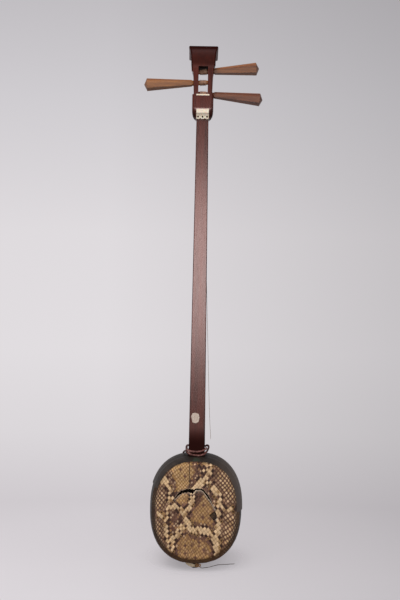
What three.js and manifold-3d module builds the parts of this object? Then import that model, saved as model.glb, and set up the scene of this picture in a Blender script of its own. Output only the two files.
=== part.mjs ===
// A small southern sanxian: a long fretless neck through a skin-covered drum, a slotted
// pegbox with three friction pegs and a shovel head that bends back.
// Millimetres, +Z up, the skin faces -Y, and the foot of the spike stands at the origin.
import * as THREE from 'three';
import { mergeVertices } from 'three/addons/utils/BufferGeometryUtils.js';
import Module from 'manifold-3d';

const wasm = await Module();
wasm.setup();

// Clearances
const glueGap = 0.3; // between two pieces that are glued, tied or seated
const turnGap = 0.35; // round a peg in its hole
const overrun = 6; // how far a cutting tool runs past the wood

// Drum: a rounded frame of four blocks, widest at half its depth
const drumWidth = 164.6;
const drumHeight = 196.5;
const drumDepth = 77;
const drumBulge = 15; // how far the sides swell beyond the two skins' edges
const rimWidth = 7; // the frame's edge under each skin
const drumPower = 2.4; // 2 is an ellipse, higher is squarer
const skinThickness = 0.8;
const skinWrap = 17; // how far each skin is turned down over the side
const skinCorner = 1.4; // rounding where the skin turns
const roundShare = 0.3; // of a rounding, where its middle point lies
const bandThickness = 1.2;
const bandEdge = 5; // bare side left between the band and each face
const jointAngle = 50; // degrees from +X to the frame's first glue joint
const bandStart = 0; // degrees from +X, where the band ends on the right
const bandEnd = 150; // degrees from +X, where the band ends on the left

// Neck, with the spike that runs on through the drum
const neckLength = 598.7; // from the drum's top to the head
const neckTopWidth = 21.5;
const neckBottomWidth = 29.2;
const neckTopDepth = 24;
const neckBottomDepth = 28;
const neckCheek = 8; // straight part of the neck's sides, before the round back
const neckEdge = 1.2; // rounding along the two front edges
const neckSetback = 18.5; // from the front skin back to the neck's front
const socketDepth = 9; // how deep the neck's full section sits in the frame
const spikeWidth = 16;
const spikeDepth = 14;
const spikeSetback = 13; // from the neck's front back to the spike's front
const tenonWidth = 12;
const tenonDepth = 11;
const tenonLength = 30;
const tenonSetback = 9; // from the neck's front back to the tenon's front

// Foot of the spike, turned round with a groove for the tail cord
const footHeight = 9; // how far the foot stands out under the drum
const footRadius = 6.6;
const grooveRadius = 4.7;
const footFlange = 2.2; // height of the foot's broad end
const footSoleShare = 0.86; // of the foot's radius, where its rounded edge meets the floor
const footEdgeShare = 0.4; // of the broad end's height, where that rounding ends

// Head: block, pegbox and shovel
const blockHeight = 42.6;
const blockWidth = 38;
const blockRise = 6; // how far the block stands ahead of the neck
const headBack = 26; // from the neck's front to the pegbox's back
const pegboxHeight = 51.5;
const pegboxBottomWidth = 33;
const pegboxTopWidth = 35.2;
const shovelRise = 51.4;
const shovelReach = 38; // how far behind the drum's middle the shovel ends
const shovelTipWidth = 51.2; // across its front face, at the tip
const shovelBackWidth = 52.4; // across its back face, at the tip
const shovelRootWidth = 37.6; // across its front face, at the pegbox
const shovelThroatWidth = 39.4; // across its back face, at the pegbox
const shovelThickness = 27; // height of the shovel's end face
const headRound = 2; // rounding of the head's long edges
const blockRound = 4.6; // rounding of the block's front edges
const slotWidth = 16.9;
const slotAboveBlock = 50; // from the block's shoulder up to the slot's top
const slotDip = 6.2; // how far the slot's floor drops behind the bone strip
const slotSlopeShare = 0.7; // of that drop, where the floor's slope eases
const slotTopDrop = 1; // how far the slot's roof falls towards the back

// Bone strip at the slot's foot, and the bone nut plate with its three string holes
const stripWidth = 23.2;
const stripHeight = 2.6;
const stripDepth = 4;
const boneProud = 0.8; // how far both bones stand out of the block's front
const nutWidth = 22;
const nutHeight = 17.3;
const nutLip = 7.2; // height of the nut's upper lip
const nutStep = 1.6; // how far the lower part steps back from the lip
const nutToe = 2.6; // thickness of the nut at its lower edge
const nutOverlap = 0.6; // how far the nut hangs down over the neck
const stringHoleWidth = 2.8;
const stringSpacing = 8;
const stringHoleRise = 4; // from the nut's lower edge up to its holes

// Pegs: a six-sided handle, a round tapered shank and a low pyramid on the end
const pegSetback = 10; // from the neck's front back to the pegs
const pegRootAcross = 11.6; // handle, corner to corner, beside the pegbox
const pegTipAcross = 22.4; // handle, corner to corner, at its far end
const pegCap = 4.6; // height of the pyramid
const pegFace = 1.2; // flat round the pyramid
const pegNearWidth = 9.4; // shank where it enters the pegbox
const pegFarWidth = 6.6; // shank at its far end
const pegShoulder = 1.4; // between the pegbox and the handle's root
const pegStandIn = 1.5; // how far the shank's end stops inside the far cheek
const pegEndShare = 0.9; // of the shank's radius, at its rounded end
const pegHoleWidth = 1.6; // for the string
const upperPegRise = 43; // from the block's shoulder up to each peg
const middlePegRise = 23.8;
const lowerPegRise = 3.6;
const upperPegReach = 95.2; // from the pegbox's middle to the end of each handle
const middlePegReach = 100.8;
const lowerPegReach = 102.4;
const pegs = [
  { name: 'upper', side: 1, above: upperPegRise, tilt: 4.3, reach: upperPegReach, turn: 14 },
  { name: 'middle', side: -1, above: middlePegRise, tilt: -2.9, reach: middlePegReach, turn: -10 },
  { name: 'lower', side: 1, above: lowerPegRise, tilt: -4.8, reach: lowerPegReach, turn: 10 },
];

// String left on the pegs
const stringWidth = 0.9;
const windingPitch = 1.45;
const windingTurns = 8;

// Leather tie round the neck's foot
const tieWidth = 3.2;
const tiePitch = 3.7;
const tieTurns = 3;
const tieSlack = 2.1; // between the neck and the tie
const tiePower = 6; // 2 is an ellipse, higher is squarer
const tieSlopeShare = 1.15; // of the cord's half width, up from the drum's slope

// Tail cord round the foot, its knot, a torn rawhide strip and a loose thread on the floor
const tailWidth = 1.9;
const tailPitch = 2.4;
const tailTurns = 1.5;
const knotRadius = 4.4;
const knotRise = 6; // from the floor to the knot's middle
const tailThreadWidth = 1.2;
const rawhideLength = 17;
const rawhideHeight = 7;
const rawhideThickness = 1;

// Paper left on the neck, and one loose string behind it
const paperWidth = 14.6;
const paperHeight = 18.5;
const paperThickness = 0.4;
const paperCentre = -3.4; // off the neck's middle line
const paperRise = 65.5; // from the drum's top to the paper's middle
const looseStringWidth = 0.7;

// Routes of the two free threads, point by point along each one
const tailThreadRoute = [
  [9.1, -9.5, 3.45], [10.7, -9.6, 1.75], [12.6, -9.2, 0.85], [15.4, -7.8, 0.7], [19, -6, 0.7],
  [24, -3.4, 0.7], [29, 0.8, 0.7], [35, 7, 0.7], [40.8, 12.6, 0.7], [48, 15.4, 0.7],
  [57, 17.2, 0.7], [65, 19.6, 0.7], [72.5, 21.6, 0.7],
];
const looseStringRoute = [
  [0.6, -4, 839.7], [0.6, 0, 839.4], [0.7, 4, 839.2], [0.75, 6.2, 838.9], [0.85, 7.1, 837.4],
  [1, 7.2, 833], [1.4, 7.4, 820], [2.2, 7.7, 795], [4.2, 7.9, 740], [7, 7.3, 660], [10.4, 6.6, 570],
  [13.8, 5.8, 480], [17.2, 5, 390], [20.4, 4.2, 310], [22.8, 3.6, 262], [24.4, 3.2, 240],
  [24.9, 3, 230.5],
];

// Levels and planes that follow from the sizes
const drumBottom = footHeight;
const drumTop = drumBottom + drumHeight;
const drumMiddle = drumBottom + drumHeight / 2;
const frameHalf = drumDepth / 2 - skinThickness - glueGap;
const neckFront = -drumDepth / 2 + neckSetback;
const headBottom = drumTop + neckLength;
const blockTop = headBottom + blockHeight;
const blockFront = neckFront - blockRise;
const pegboxBack = neckFront + headBack;
const pegboxTop = blockTop + pegboxHeight;
const slotTop = blockTop + slotAboveBlock;
const stripTop = blockTop + glueGap;
const stripBottom = stripTop - stripHeight;
const nutBottom = headBottom - nutOverlap;
const nutTop = nutBottom + nutHeight;
const pegPlane = neckFront + pegSetback;

// Turns a mesh whose faces point inwards the right way round.
function facingOut(geometry) {
  const position = geometry.getAttribute('position');
  const index = geometry.getIndex().array;
  const [a, b, c] = [new THREE.Vector3(), new THREE.Vector3(), new THREE.Vector3()];
  let volume = 0;
  for (let i = 0; i < index.length; i += 3) {
    a.fromBufferAttribute(position, index[i]);
    b.fromBufferAttribute(position, index[i + 1]);
    c.fromBufferAttribute(position, index[i + 2]);
    volume += a.dot(b.cross(c));
  }
  if (volume < 0) {
    for (let i = 0; i < index.length; i += 3) {
      [index[i + 1], index[i + 2]] = [index[i + 2], index[i + 1]];
    }
  }
  return geometry;
}

// Merges shared vertices and keeps only positions.
function welded(geometry) {
  const bare = geometry.clone();
  bare.deleteAttribute('normal');
  bare.deleteAttribute('uv');
  return facingOut(mergeVertices(bare, glueGap / 1000));
}

// A body between rings of equal point counts, each end closed by a fan round its middle.
function loft(rings) {
  const count = rings[0].length;
  const points = rings.flat();
  const index = [];
  for (let r = 0; r + 1 < rings.length; r++) {
    for (let i = 0; i < count; i++) {
      const j = (i + 1) % count;
      const [a, b] = [r * count + i, r * count + j];
      index.push(a, b, b + count, a, b + count, a + count);
    }
  }
  [0, rings.length - 1].forEach((r, end) => {
    const middle = new THREE.Vector3();
    rings[r].forEach((point) => middle.addScaledVector(point, 1 / count));
    points.push(middle);
    for (let i = 0; i < count; i++) {
      const pair = [r * count + i, r * count + ((i + 1) % count)];
      index.push(points.length - 1, pair[1 - end], pair[end]);
    }
  });
  const geometry = new THREE.BufferGeometry().setFromPoints(points);
  geometry.setIndex(index);
  return facingOut(geometry);
}

// A solid for joining and cutting, and back to a geometry.
function solid(geometry) {
  const clean = welded(geometry);
  return new wasm.Manifold(new wasm.Mesh({
    numProp: 3,
    vertProperties: new Float32Array(clean.getAttribute('position').array),
    triVerts: new Uint32Array(clean.getIndex().array),
  }));
}

function geometryOf(manifold) {
  const { vertProperties, triVerts } = manifold.getMesh();
  const geometry = new THREE.BufferGeometry();
  geometry.setAttribute('position', new THREE.BufferAttribute(vertProperties, 3));
  geometry.setIndex(new THREE.BufferAttribute(triVerts, 1));
  return geometry;
}

function cut(geometry, tools) {
  return geometryOf(tools.reduce((left, tool) => left.subtract(solid(tool)), solid(geometry)));
}

function joined(geometries) {
  return geometryOf(geometries.map(solid).reduce((sum, next) => sum.add(next)));
}

function box(width, depth, height, x, y, z) {
  return new THREE.BoxGeometry(width, depth, height).translate(x, y, z);
}

// A round rod between two points, for holes and pins.
function rod(from, to, radius, sides) {
  const way = new THREE.Vector3().subVectors(to, from);
  const geometry = new THREE.CylinderGeometry(radius, radius, way.length(), sides);
  const up = new THREE.Vector3(0, 1, 0);
  geometry.applyQuaternion(new THREE.Quaternion().setFromUnitVectors(up, way.normalize()));
  return geometry.translate(...new THREE.Vector3().addVectors(from, to).divideScalar(2));
}

// A profile in the Y-Z plane, pushed out to both sides of the middle plane.
function slab(profile, width) {
  const shape = new THREE.Shape(profile.map(([y, z]) => new THREE.Vector2(y, z)));
  const geometry = new THREE.ExtrudeGeometry(shape, { depth: width, bevelEnabled: false });
  const turn = new THREE.Matrix4().makeBasis(
    new THREE.Vector3(0, 1, 0), new THREE.Vector3(0, 0, 1), new THREE.Vector3(1, 0, 0),
  );
  return geometry.applyMatrix4(turn).translate(-width / 2, 0, 0);
}

// An outline in the X-Z plane, pushed back from y.
function plate(outline, y, thickness) {
  const shape = new THREE.Shape(outline.map(([x, z]) => new THREE.Vector2(x, z)));
  const geometry = new THREE.ExtrudeGeometry(shape, { depth: thickness, bevelEnabled: false });
  return geometry.rotateX(Math.PI / 2).translate(0, y + thickness, 0);
}

// A cord: a many-sided tube along a curve.
function cord(curve, width, sides, steps) {
  const corners = Array.from({ length: sides }, (_, i) => {
    const angle = (2 * Math.PI * i) / sides;
    return new THREE.Vector2(Math.cos(angle), Math.sin(angle)).multiplyScalar(width / 2);
  });
  return welded(new THREE.ExtrudeGeometry(new THREE.Shape(corners), { extrudePath: curve, steps }));
}

// Prints the least gap between stretches of a wound cord that lie half a turn or more apart.
function printLeastGap(name, curve, steps, stepsPerTurn, width) {
  const points = curve.getSpacedPoints(steps);
  let least = Infinity;
  points.forEach((point, i) => {
    for (let j = i + Math.round(stepsPerTurn / 2); j < points.length; j++) {
      least = Math.min(least, point.distanceTo(points[j]) - width);
    }
  });
  console.log(`${name}: least gap to itself ${least.toFixed(2)} mm`);
}

const sanxian = new THREE.Group();
sanxian.name = 'sanxian';

function add(name, geometry, color, roughness, metalness = 0) {
  geometry.computeVertexNormals();
  const material = new THREE.MeshStandardMaterial({ color, roughness, metalness });
  const mesh = new THREE.Mesh(geometry, material);
  mesh.name = name;
  sanxian.add(mesh);
  return mesh;
}

const rosewood = 0x4a2a20;
const pegwood = 0x9a6a4e;
const bone = 0xe4d9bd;
const drumwood = 0x4b4038;
const pythonSkin = 0xa8875a;
const silk = 0xb9a184;

// Drum outline: half its width and height less an inset, as a squared ellipse
function drumRadius(angle, inset) {
  const across = Math.abs(Math.cos(angle)) / (drumWidth / 2 - inset);
  const along = Math.abs(Math.sin(angle)) / (drumHeight / 2 - inset);
  return (across ** drumPower + along ** drumPower) ** (-1 / drumPower);
}

function drumPoint(angle, inset, y, share = 1) {
  const radius = drumRadius(angle, inset) * share;
  return new THREE.Vector3(radius * Math.cos(angle), y, drumMiddle + radius * Math.sin(angle));
}

// The side swells as a parabola from the edge of one skin to the other's.
function sideInset(y) {
  return drumBulge * (y / frameHalf) ** 2;
}

function radians(degrees) {
  return THREE.MathUtils.degToRad(degrees);
}

// Frame: four blocks with a convex outside and a straight inside
const rimProfile = [];
const rimSteps = 8;
for (let i = 0; i <= rimSteps; i++) {
  const y = -frameHalf + (2 * frameHalf * i) / rimSteps;
  rimProfile.push([sideInset(y), y]);
}
rimProfile.push([drumBulge + rimWidth, frameHalf], [drumBulge + rimWidth, -frameHalf]);

function arc(profile, from, to, steps) {
  const rings = [];
  for (let s = 0; s <= steps; s++) {
    const angle = from + ((to - from) * s) / steps;
    rings.push(profile.map(([inset, y]) => drumPoint(angle, inset, y)));
  }
  return loft(rings);
}

const joint = radians(jointAngle);
const jointSlack = glueGap / 2 / drumRadius(joint, drumBulge + rimWidth);
const frameBlocks = [
  ['right', -joint, joint],
  ['top', joint, Math.PI - joint],
  ['left', Math.PI - joint, Math.PI + joint],
  ['bottom', Math.PI + joint, 2 * Math.PI - joint],
];

// Neck: flat in front, round behind, tapering from the drum to the head
const neckFoot = drumTop - socketDepth;
const neckTop = headBottom - glueGap;

function neckSection(z, grow) {
  const share = (z - neckFoot) / (neckTop - neckFoot);
  const half = THREE.MathUtils.lerp(neckBottomWidth, neckTopWidth, share) / 2 + grow;
  const depth = THREE.MathUtils.lerp(neckBottomDepth, neckTopDepth, share) + 2 * grow;
  const front = neckFront - grow;
  const waist = front + neckCheek;
  const backSteps = 12;
  const ring = [
    new THREE.Vector3(-half, front + neckEdge, z),
    new THREE.Vector3(-half + neckEdge, front, z),
    new THREE.Vector3(half - neckEdge, front, z),
    new THREE.Vector3(half, front + neckEdge, z),
  ];
  for (let i = 0; i <= backSteps; i++) {
    const angle = (Math.PI * i) / backSteps;
    const y = waist + (depth - neckCheek) * Math.sin(angle);
    ring.push(new THREE.Vector3(half * Math.cos(angle), y, z));
  }
  return ring;
}

const spikeMiddle = neckFront + spikeSetback + spikeDepth / 2;
const spikeTop = neckFoot + socketDepth / 2;
const spikeBottom = drumBottom + socketDepth / 2;

// Foot: a turned end, waisted for the tail cord
function foot() {
  const profile = [
    [0, spikeBottom + overrun], [grooveRadius, spikeBottom + overrun],
    [grooveRadius, footFlange + glueGap], [footRadius, footFlange],
    [footRadius, footFlange * footEdgeShare], [footRadius * footSoleShare, 0], [0, 0],
  ];
  const points = profile.map(([radius, z]) => new THREE.Vector2(radius, z));
  const geometry = new THREE.LatheGeometry(points.reverse(), 24);
  return geometry.rotateX(Math.PI / 2).translate(0, spikeMiddle, 0);
}

function neck() {
  const body = loft([neckSection(neckFoot, 0), neckSection(neckTop, 0)]);
  const spikeLength = spikeTop - spikeBottom;
  const spike = box(
    spikeWidth, spikeDepth, spikeLength, 0, spikeMiddle, spikeBottom + spikeLength / 2,
  );
  const tenonMiddle = neckFront + tenonSetback + tenonDepth / 2;
  const tenonBase = neckTop - overrun;
  const tenon = box(
    tenonWidth, tenonDepth, tenonLength + overrun, 0, tenonMiddle,
    tenonBase + (tenonLength + overrun) / 2,
  );
  return joined([body, spike, tenon, foot()]);
}

function frameBlock(name, from, to) {
  const block = arc(rimProfile, from + jointSlack, to - jointSlack, 16);
  const mortise = box(
    spikeWidth + 2 * glueGap, spikeDepth + 2 * glueGap, drumHeight, 0, spikeMiddle, drumTop,
  );
  if (name === 'top') {
    const socket = loft([
      neckSection(neckFoot - glueGap, glueGap), neckSection(drumTop + overrun, glueGap),
    ]);
    return cut(block, [mortise, socket]);
  }
  if (name === 'bottom') {
    const shoulder = spikeBottom - glueGap;
    const through = mortise.translate(0, 0, shoulder + drumHeight / 2 - drumTop);
    const hole = new THREE.CylinderGeometry(
      grooveRadius + glueGap, grooveRadius + glueGap, drumHeight, 24,
    );
    hole.rotateX(Math.PI / 2).translate(0, spikeMiddle, shoulder + glueGap - drumHeight / 2);
    return cut(block, [through, hole]);
  }
  return block;
}

frameBlocks.forEach(([name, from, to]) => {
  add(`frame_${name}`, frameBlock(name, from, to), drumwood, 0.6);
});
add('neck', neck(), rosewood, 0.4);

// Skins: a flat face with its edge turned down over the frame's side
const skinSides = 72;
const innerRingShare = 0.5; // of the way out from the middle of the face

function skinProfile() {
  const outer = -drumDepth / 2;
  const inner = -frameHalf - glueGap;
  const wrapEnd = outer + skinWrap;
  const out = glueGap + skinThickness;
  const wrapSteps = 3;
  const points = [
    { share: 0, y: outer },
    { share: innerRingShare, y: outer },
    { inset: drumBulge - out + skinCorner, y: outer },
    { inset: drumBulge - out + skinCorner * roundShare, y: outer + skinCorner * roundShare },
  ];
  for (let i = 0; i <= wrapSteps; i++) {
    const y = outer + skinCorner + ((wrapEnd - outer - skinCorner) * i) / wrapSteps;
    points.push({ inset: sideInset(Math.max(y, -frameHalf)) - out, y });
  }
  for (let i = wrapSteps; i >= 0; i--) {
    const y = inner + ((wrapEnd - inner) * i) / wrapSteps;
    points.push({ inset: sideInset(Math.max(y, -frameHalf)) - glueGap, y });
  }
  points.push({ share: innerRingShare, y: inner }, { share: 0, y: inner });
  return points;
}

function skin(side) {
  const profile = skinProfile();
  const points = [];
  const index = [];
  profile.forEach(({ share = 1, inset = drumBulge, y }) => {
    for (let i = 0; i < (share === 0 ? 1 : skinSides); i++) {
      points.push(drumPoint((2 * Math.PI * i) / skinSides, inset, side * y, share));
    }
  });
  const rings = profile.length - 2;
  const last = points.length - 1;
  for (let i = 0; i < skinSides; i++) {
    const j = (i + 1) % skinSides;
    index.push(0, 1 + i, 1 + j);
    for (let r = 0; r + 1 < rings; r++) {
      const [a, b] = [1 + r * skinSides + i, 1 + r * skinSides + j];
      index.push(a, a + skinSides, b + skinSides, a, b + skinSides, b);
    }
    const base = 1 + (rings - 1) * skinSides;
    index.push(last, base + j, base + i);
  }
  const geometry = new THREE.BufferGeometry().setFromPoints(points);
  geometry.setIndex(index);
  return facingOut(geometry);
}

// Tear in the front skin: its middle line and half widths, and the hole beside the torn
// flap, as shares of the drum's half width and half height from the drum's centre
const tearShares = [
  [-0.456, 0.234, 0.002], [-0.425, 0.258, 0.012], [-0.377, 0.315, 0.023], [-0.322, 0.353, 0.027],
  [-0.255, 0.371, 0.03], [-0.168, 0.388, 0.034], [-0.103, 0.38, 0.037], [-0.063, 0.37, 0.039],
  [-0.034, 0.388, 0.023], [-0.01, 0.412, 0.014], [0.03, 0.414, 0.016], [0.066, 0.413, 0.012],
  [0.09, 0.414, 0.006], [0.117, 0.411, 0.012], [0.156, 0.386, 0.014], [0.214, 0.327, 0.013],
  [0.264, 0.272, 0.015], [0.299, 0.236, 0.016], [0.328, 0.2, 0.009], [0.36, 0.146, 0.006],
  [0.397, 0.089, 0.004], [0.425, 0.056, 0.002],
];
const tearHoleShares = [
  [0.293, -0.046], [0.36, 0], [0.42, 0.03], [0.452, -0.04], [0.45, -0.112], [0.395, -0.142],
  [0.345, -0.1],
];
const tearSlantShare = 0.4; // how far the tear's edges lean along it, of its half width

function tear() {
  const spot = ([x, z]) => [(x * drumWidth) / 2, drumMiddle + (z * drumHeight) / 2];
  const upper = tearShares.map(([x, z, half]) => spot([x + half * tearSlantShare, z + half]));
  const lower = tearShares.map(([x, z, half]) => spot([x - half * tearSlantShare, z - half]));
  return [[...upper, ...lower.reverse()], tearHoleShares.map(spot)].map((outline) => plate(
    outline, -drumDepth / 2 - overrun, skinThickness + 2 * overrun,
  ));
}

add('front_skin', cut(skin(1), tear()), pythonSkin, 0.55);
add('back_skin', skin(-1), pythonSkin, 0.55);

// Band: a strip glued over the skins' turned edges, left on the drum's upper part. Between
// the two skins it lies on the frame.
const bandLie = 2 * glueGap + skinThickness;
const bandRampShare = 0.15; // of a skin's turned edge, where the band comes down from it

function bandLieAt(y) {
  const clear = (drumDepth / 2 - skinWrap - Math.abs(y)) / (skinWrap * bandRampShare);
  return bandLie + (glueGap - bandLie) * Math.min(1, Math.max(0, clear));
}

function bandProfile() {
  const reach = frameHalf - bandEdge;
  const steps = 24;
  const profile = [];
  for (let i = 0; i <= steps; i++) {
    const y = -reach + (2 * reach * i) / steps;
    profile.push([sideInset(y) - bandLieAt(y) - bandThickness, y]);
  }
  for (let i = steps; i >= 0; i--) {
    const y = -reach + (2 * reach * i) / steps;
    profile.push([sideInset(y) - bandLieAt(y), y]);
  }
  return profile;
}

function bandArc() {
  const profile = bandProfile();
  const steps = 30;
  const count = profile.length;
  const rings = [];
  for (let s = 0; s <= steps; s++) {
    const angle = radians(bandStart + ((bandEnd - bandStart) * s) / steps);
    rings.push(profile.map(([inset, y]) => drumPoint(angle, inset, y)));
  }
  const points = rings.flat();
  const index = [];
  for (let r = 0; r < steps; r++) {
    for (let i = 0; i < count; i++) {
      const j = (i + 1) % count;
      const [a, b] = [r * count + i, r * count + j];
      index.push(a, b, b + count, a, b + count, a + count);
    }
  }
  // The thin curved ends are closed strip by strip.
  [0, steps].forEach((r, end) => {
    for (let i = 0; i + 1 < count / 2; i++) {
      const [a, b] = [r * count + i, r * count + i + 1];
      const [c, d] = [r * count + count - 2 - i, r * count + count - 1 - i];
      const quad = end ? [a, b, c, a, c, d] : [a, c, b, a, d, c];
      index.push(...quad);
    }
  });
  const geometry = new THREE.BufferGeometry().setFromPoints(points);
  geometry.setIndex(index);
  const opening = loft([
    neckSection(neckFoot, glueGap), neckSection(drumTop + 2 * overrun, glueGap),
  ]);
  return cut(facingOut(geometry), [opening]);
}

add('side_band', bandArc(), 0x3a302b, 0.6);

// Head: sections from the block's foot to the shovel's end, each between a point on its
// front and a point on its back
function headSection(front, back, frontWidth, backWidth, frontRound) {
  const way = new THREE.Vector2(back[0] - front[0], back[1] - front[1]);
  const length = way.length();
  way.normalize();
  const rightHalf = [
    [frontWidth / 2 - frontRound, 0],
    [frontWidth / 2 - frontRound * roundShare, frontRound * roundShare],
    [frontWidth / 2, frontRound],
    [backWidth / 2, length - headRound],
    [backWidth / 2 - headRound * roundShare, length - headRound * roundShare],
    [backWidth / 2 - headRound, length],
  ];
  const leftHalf = rightHalf.map(([x, along]) => [-x, along]).reverse();
  return [...rightHalf, ...leftHalf].map(([x, along]) => new THREE.Vector3(
    x, front[0] + way.x * along, front[1] + way.y * along,
  ));
}

// Block, from its foot up: share of its height, of the way from the neck's width to its
// own, of its rise ahead of the neck, of its front rounding and of the rounding at its heel
const blockShares = [
  [0, 0.1, -0.15, 0.3, 1], [0.07, 0.5, 0.1, 0.5, 0.8], [0.17, 0.8, 0.3, 0.75, 0.5],
  [0.28, 0.95, 0.55, 0.9, 0.15], [0.375, 1, 0.92, 1, 0], [0.45, 1, 1, 0.75, 0],
  [1, 1, 1, 0.75, 0],
];

// Shovel: how its two curves leave the pegbox, as shares of its rise and thickness
const shovelFrontShare = 0.62; // of the rise, straight up along the front
const shovelBackShare = 0.36; // of the rise, straight up along the back
const shovelLeanShare = 0.04; // of the rise, how far the back leans out over that way
const shovelFrontFlare = 1.8; // power by which the front face widens towards the tip
const shovelBackFlare = 2.2; // power by which the back face widens towards the tip
const shovelThroatShare = 0.22; // of the thickness, how far the back's curve starts lower
const pegboxEndShare = 0.6; // of the thickness, how far the straight pegbox ends lower

function shovelSections() {
  const front = new THREE.QuadraticBezierCurve(
    new THREE.Vector2(blockFront, pegboxTop),
    new THREE.Vector2(blockFront, pegboxTop + shovelRise * shovelFrontShare),
    new THREE.Vector2(shovelReach, pegboxTop + shovelRise),
  );
  const back = new THREE.QuadraticBezierCurve(
    new THREE.Vector2(pegboxBack, pegboxTop - shovelThickness * shovelThroatShare),
    new THREE.Vector2(
      pegboxBack + shovelRise * shovelLeanShare, pegboxTop + shovelRise * shovelBackShare,
    ),
    new THREE.Vector2(shovelReach, pegboxTop + shovelRise - shovelThickness),
  );
  const steps = 10;
  return Array.from({ length: steps + 1 }, (_, i) => {
    const share = i / steps;
    return headSection(
      front.getPoint(share).toArray(), back.getPoint(share).toArray(),
      THREE.MathUtils.lerp(shovelRootWidth, shovelTipWidth, share ** shovelFrontFlare),
      THREE.MathUtils.lerp(shovelThroatWidth, shovelBackWidth, share ** shovelBackFlare),
      headRound / 2,
    );
  });
}

// Each peg's own frame: from the pegbox's middle plane outwards along its axis
function pegPlace({ side, above, tilt }) {
  const axis = new THREE.Vector3(side * Math.cos(radians(tilt)), 0, Math.sin(radians(tilt)));
  const centre = new THREE.Vector3(0, pegPlane, blockTop + above);
  const turn = new THREE.Quaternion().setFromUnitVectors(new THREE.Vector3(0, 0, 1), axis);
  return new THREE.Matrix4().compose(centre, turn, new THREE.Vector3(1, 1, 1));
}

const nearFace = blockWidth / 2;
const farFace = pegboxBottomWidth / 2 - pegStandIn;

function shankRadius(along) {
  const share = (along + farFace) / (nearFace + farFace);
  return THREE.MathUtils.lerp(pegFarWidth, pegNearWidth, share) / 2;
}

function pegHole(peg) {
  const [from, to] = [-farFace - overrun, nearFace + overrun];
  const geometry = new THREE.CylinderGeometry(
    shankRadius(to) + turnGap, shankRadius(from) + turnGap, to - from, 24,
  );
  return geometry.rotateX(Math.PI / 2).translate(0, 0, (from + to) / 2).applyMatrix4(pegPlace(peg));
}

function slot() {
  const floor = stripBottom - glueGap;
  const ledge = blockFront + stripDepth;
  return slab([
    [blockFront - overrun, floor], [ledge + slotDip / 2, floor],
    [ledge + slotDip, floor - slotDip * slotSlopeShare], [pegboxBack + overrun, floor - slotDip],
    [pegboxBack + overrun, slotTop - slotTopDrop], [blockFront - overrun, slotTop],
  ], slotWidth);
}

function stringTunnel(x) {
  const from = new THREE.Vector3(x, blockFront + blockRise + stripDepth, blockTop);
  const to = new THREE.Vector3(x, neckFront - glueGap, nutBottom + stringHoleRise);
  return rod(from, to, stringHoleWidth / 2, 10);
}

const strings = [-stringSpacing, 0, stringSpacing];

function head() {
  const sections = blockShares.map(([up, wide, rise, round, heel]) => headSection(
    [neckFront - blockRise * rise, headBottom + blockHeight * up],
    [pegboxBack - heel * headRound, headBottom + blockHeight * up],
    THREE.MathUtils.lerp(neckTopWidth, blockWidth, wide),
    THREE.MathUtils.lerp(neckTopWidth, blockWidth, wide), blockRound * round,
  ));
  const boxFoot = blockTop + glueGap;
  const throat = pegboxTop - shovelThickness * pegboxEndShare;
  [[boxFoot, pegboxBottomWidth], [throat, pegboxTopWidth]].forEach(([z, width]) => {
    sections.push(headSection([blockFront, z], [pegboxBack, z], width, width, headRound / 2));
  });
  const wood = loft([...sections, ...shovelSections()]);
  const nutSeat = box(
    nutWidth + 2 * glueGap, overrun + blockRise, nutHeight + overrun,
    0, neckFront - (overrun + blockRise) / 2, nutTop + glueGap - (nutHeight + overrun) / 2,
  );
  const stripSeat = box(
    stripWidth + 2 * glueGap, stripDepth + overrun, stripHeight + 2 * glueGap,
    0, blockFront + stripDepth + glueGap - boneProud - (stripDepth + overrun) / 2,
    (stripTop + stripBottom) / 2,
  );
  const mortise = box(
    tenonWidth + 2 * glueGap, tenonDepth + 2 * glueGap, tenonLength + overrun,
    0, neckFront + tenonSetback + tenonDepth / 2,
    headBottom + tenonLength - (tenonLength + overrun) / 2,
  );
  return cut(wood, [
    slot(), nutSeat, stripSeat, mortise, ...strings.map(stringTunnel), ...pegs.map(pegHole),
  ]);
}

add('head', head(), rosewood, 0.4);

// Bone strip across the slot's foot
add('bone_strip', box(
  stripWidth, stripDepth, stripHeight,
  0, blockFront - boneProud + stripDepth / 2, (stripTop + stripBottom) / 2,
), bone, 0.4);

// Nut plate: a lip above, stepping back to a thin toe, with a hole for each string
function nutPlate() {
  const back = neckFront - glueGap;
  const lip = blockFront - boneProud;
  const lipFoot = nutTop - nutLip;
  const body = slab([
    [back, nutBottom], [back, nutTop], [lip + nutStep / 4, nutTop],
    [lip, nutTop - nutStep / 4], [lip, lipFoot], [lip + nutStep, lipFoot - nutStep],
    [neckFront - nutToe, nutBottom],
  ], nutWidth);
  const holes = strings.map((x) => rod(
    new THREE.Vector3(x, neckFront + nutToe, nutBottom + stringHoleRise + nutToe),
    new THREE.Vector3(x, lip - nutToe, nutBottom + stringHoleRise - nutToe),
    stringHoleWidth / 2, 10,
  ));
  return cut(body, holes);
}

add('nut_plate', nutPlate(), bone, 0.4);

// Pegs, made along +Z from the pegbox's middle and then laid on their own axes
const pegSides = 24;

function pegRing(z, radius, sixSided, turn) {
  return Array.from({ length: pegSides }, (_, i) => {
    const angle = (2 * Math.PI * i) / pegSides;
    const offCorner = ((angle + Math.PI / 6) % (Math.PI / 3)) - Math.PI / 6;
    const flat = Math.cos(Math.PI / 6) / Math.cos(Math.PI / 6 - Math.abs(offCorner));
    const reach = radius * (sixSided ? flat : 1);
    const around = angle + radians(turn);
    return new THREE.Vector3(reach * Math.cos(around), reach * Math.sin(around), z);
  });
}

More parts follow.
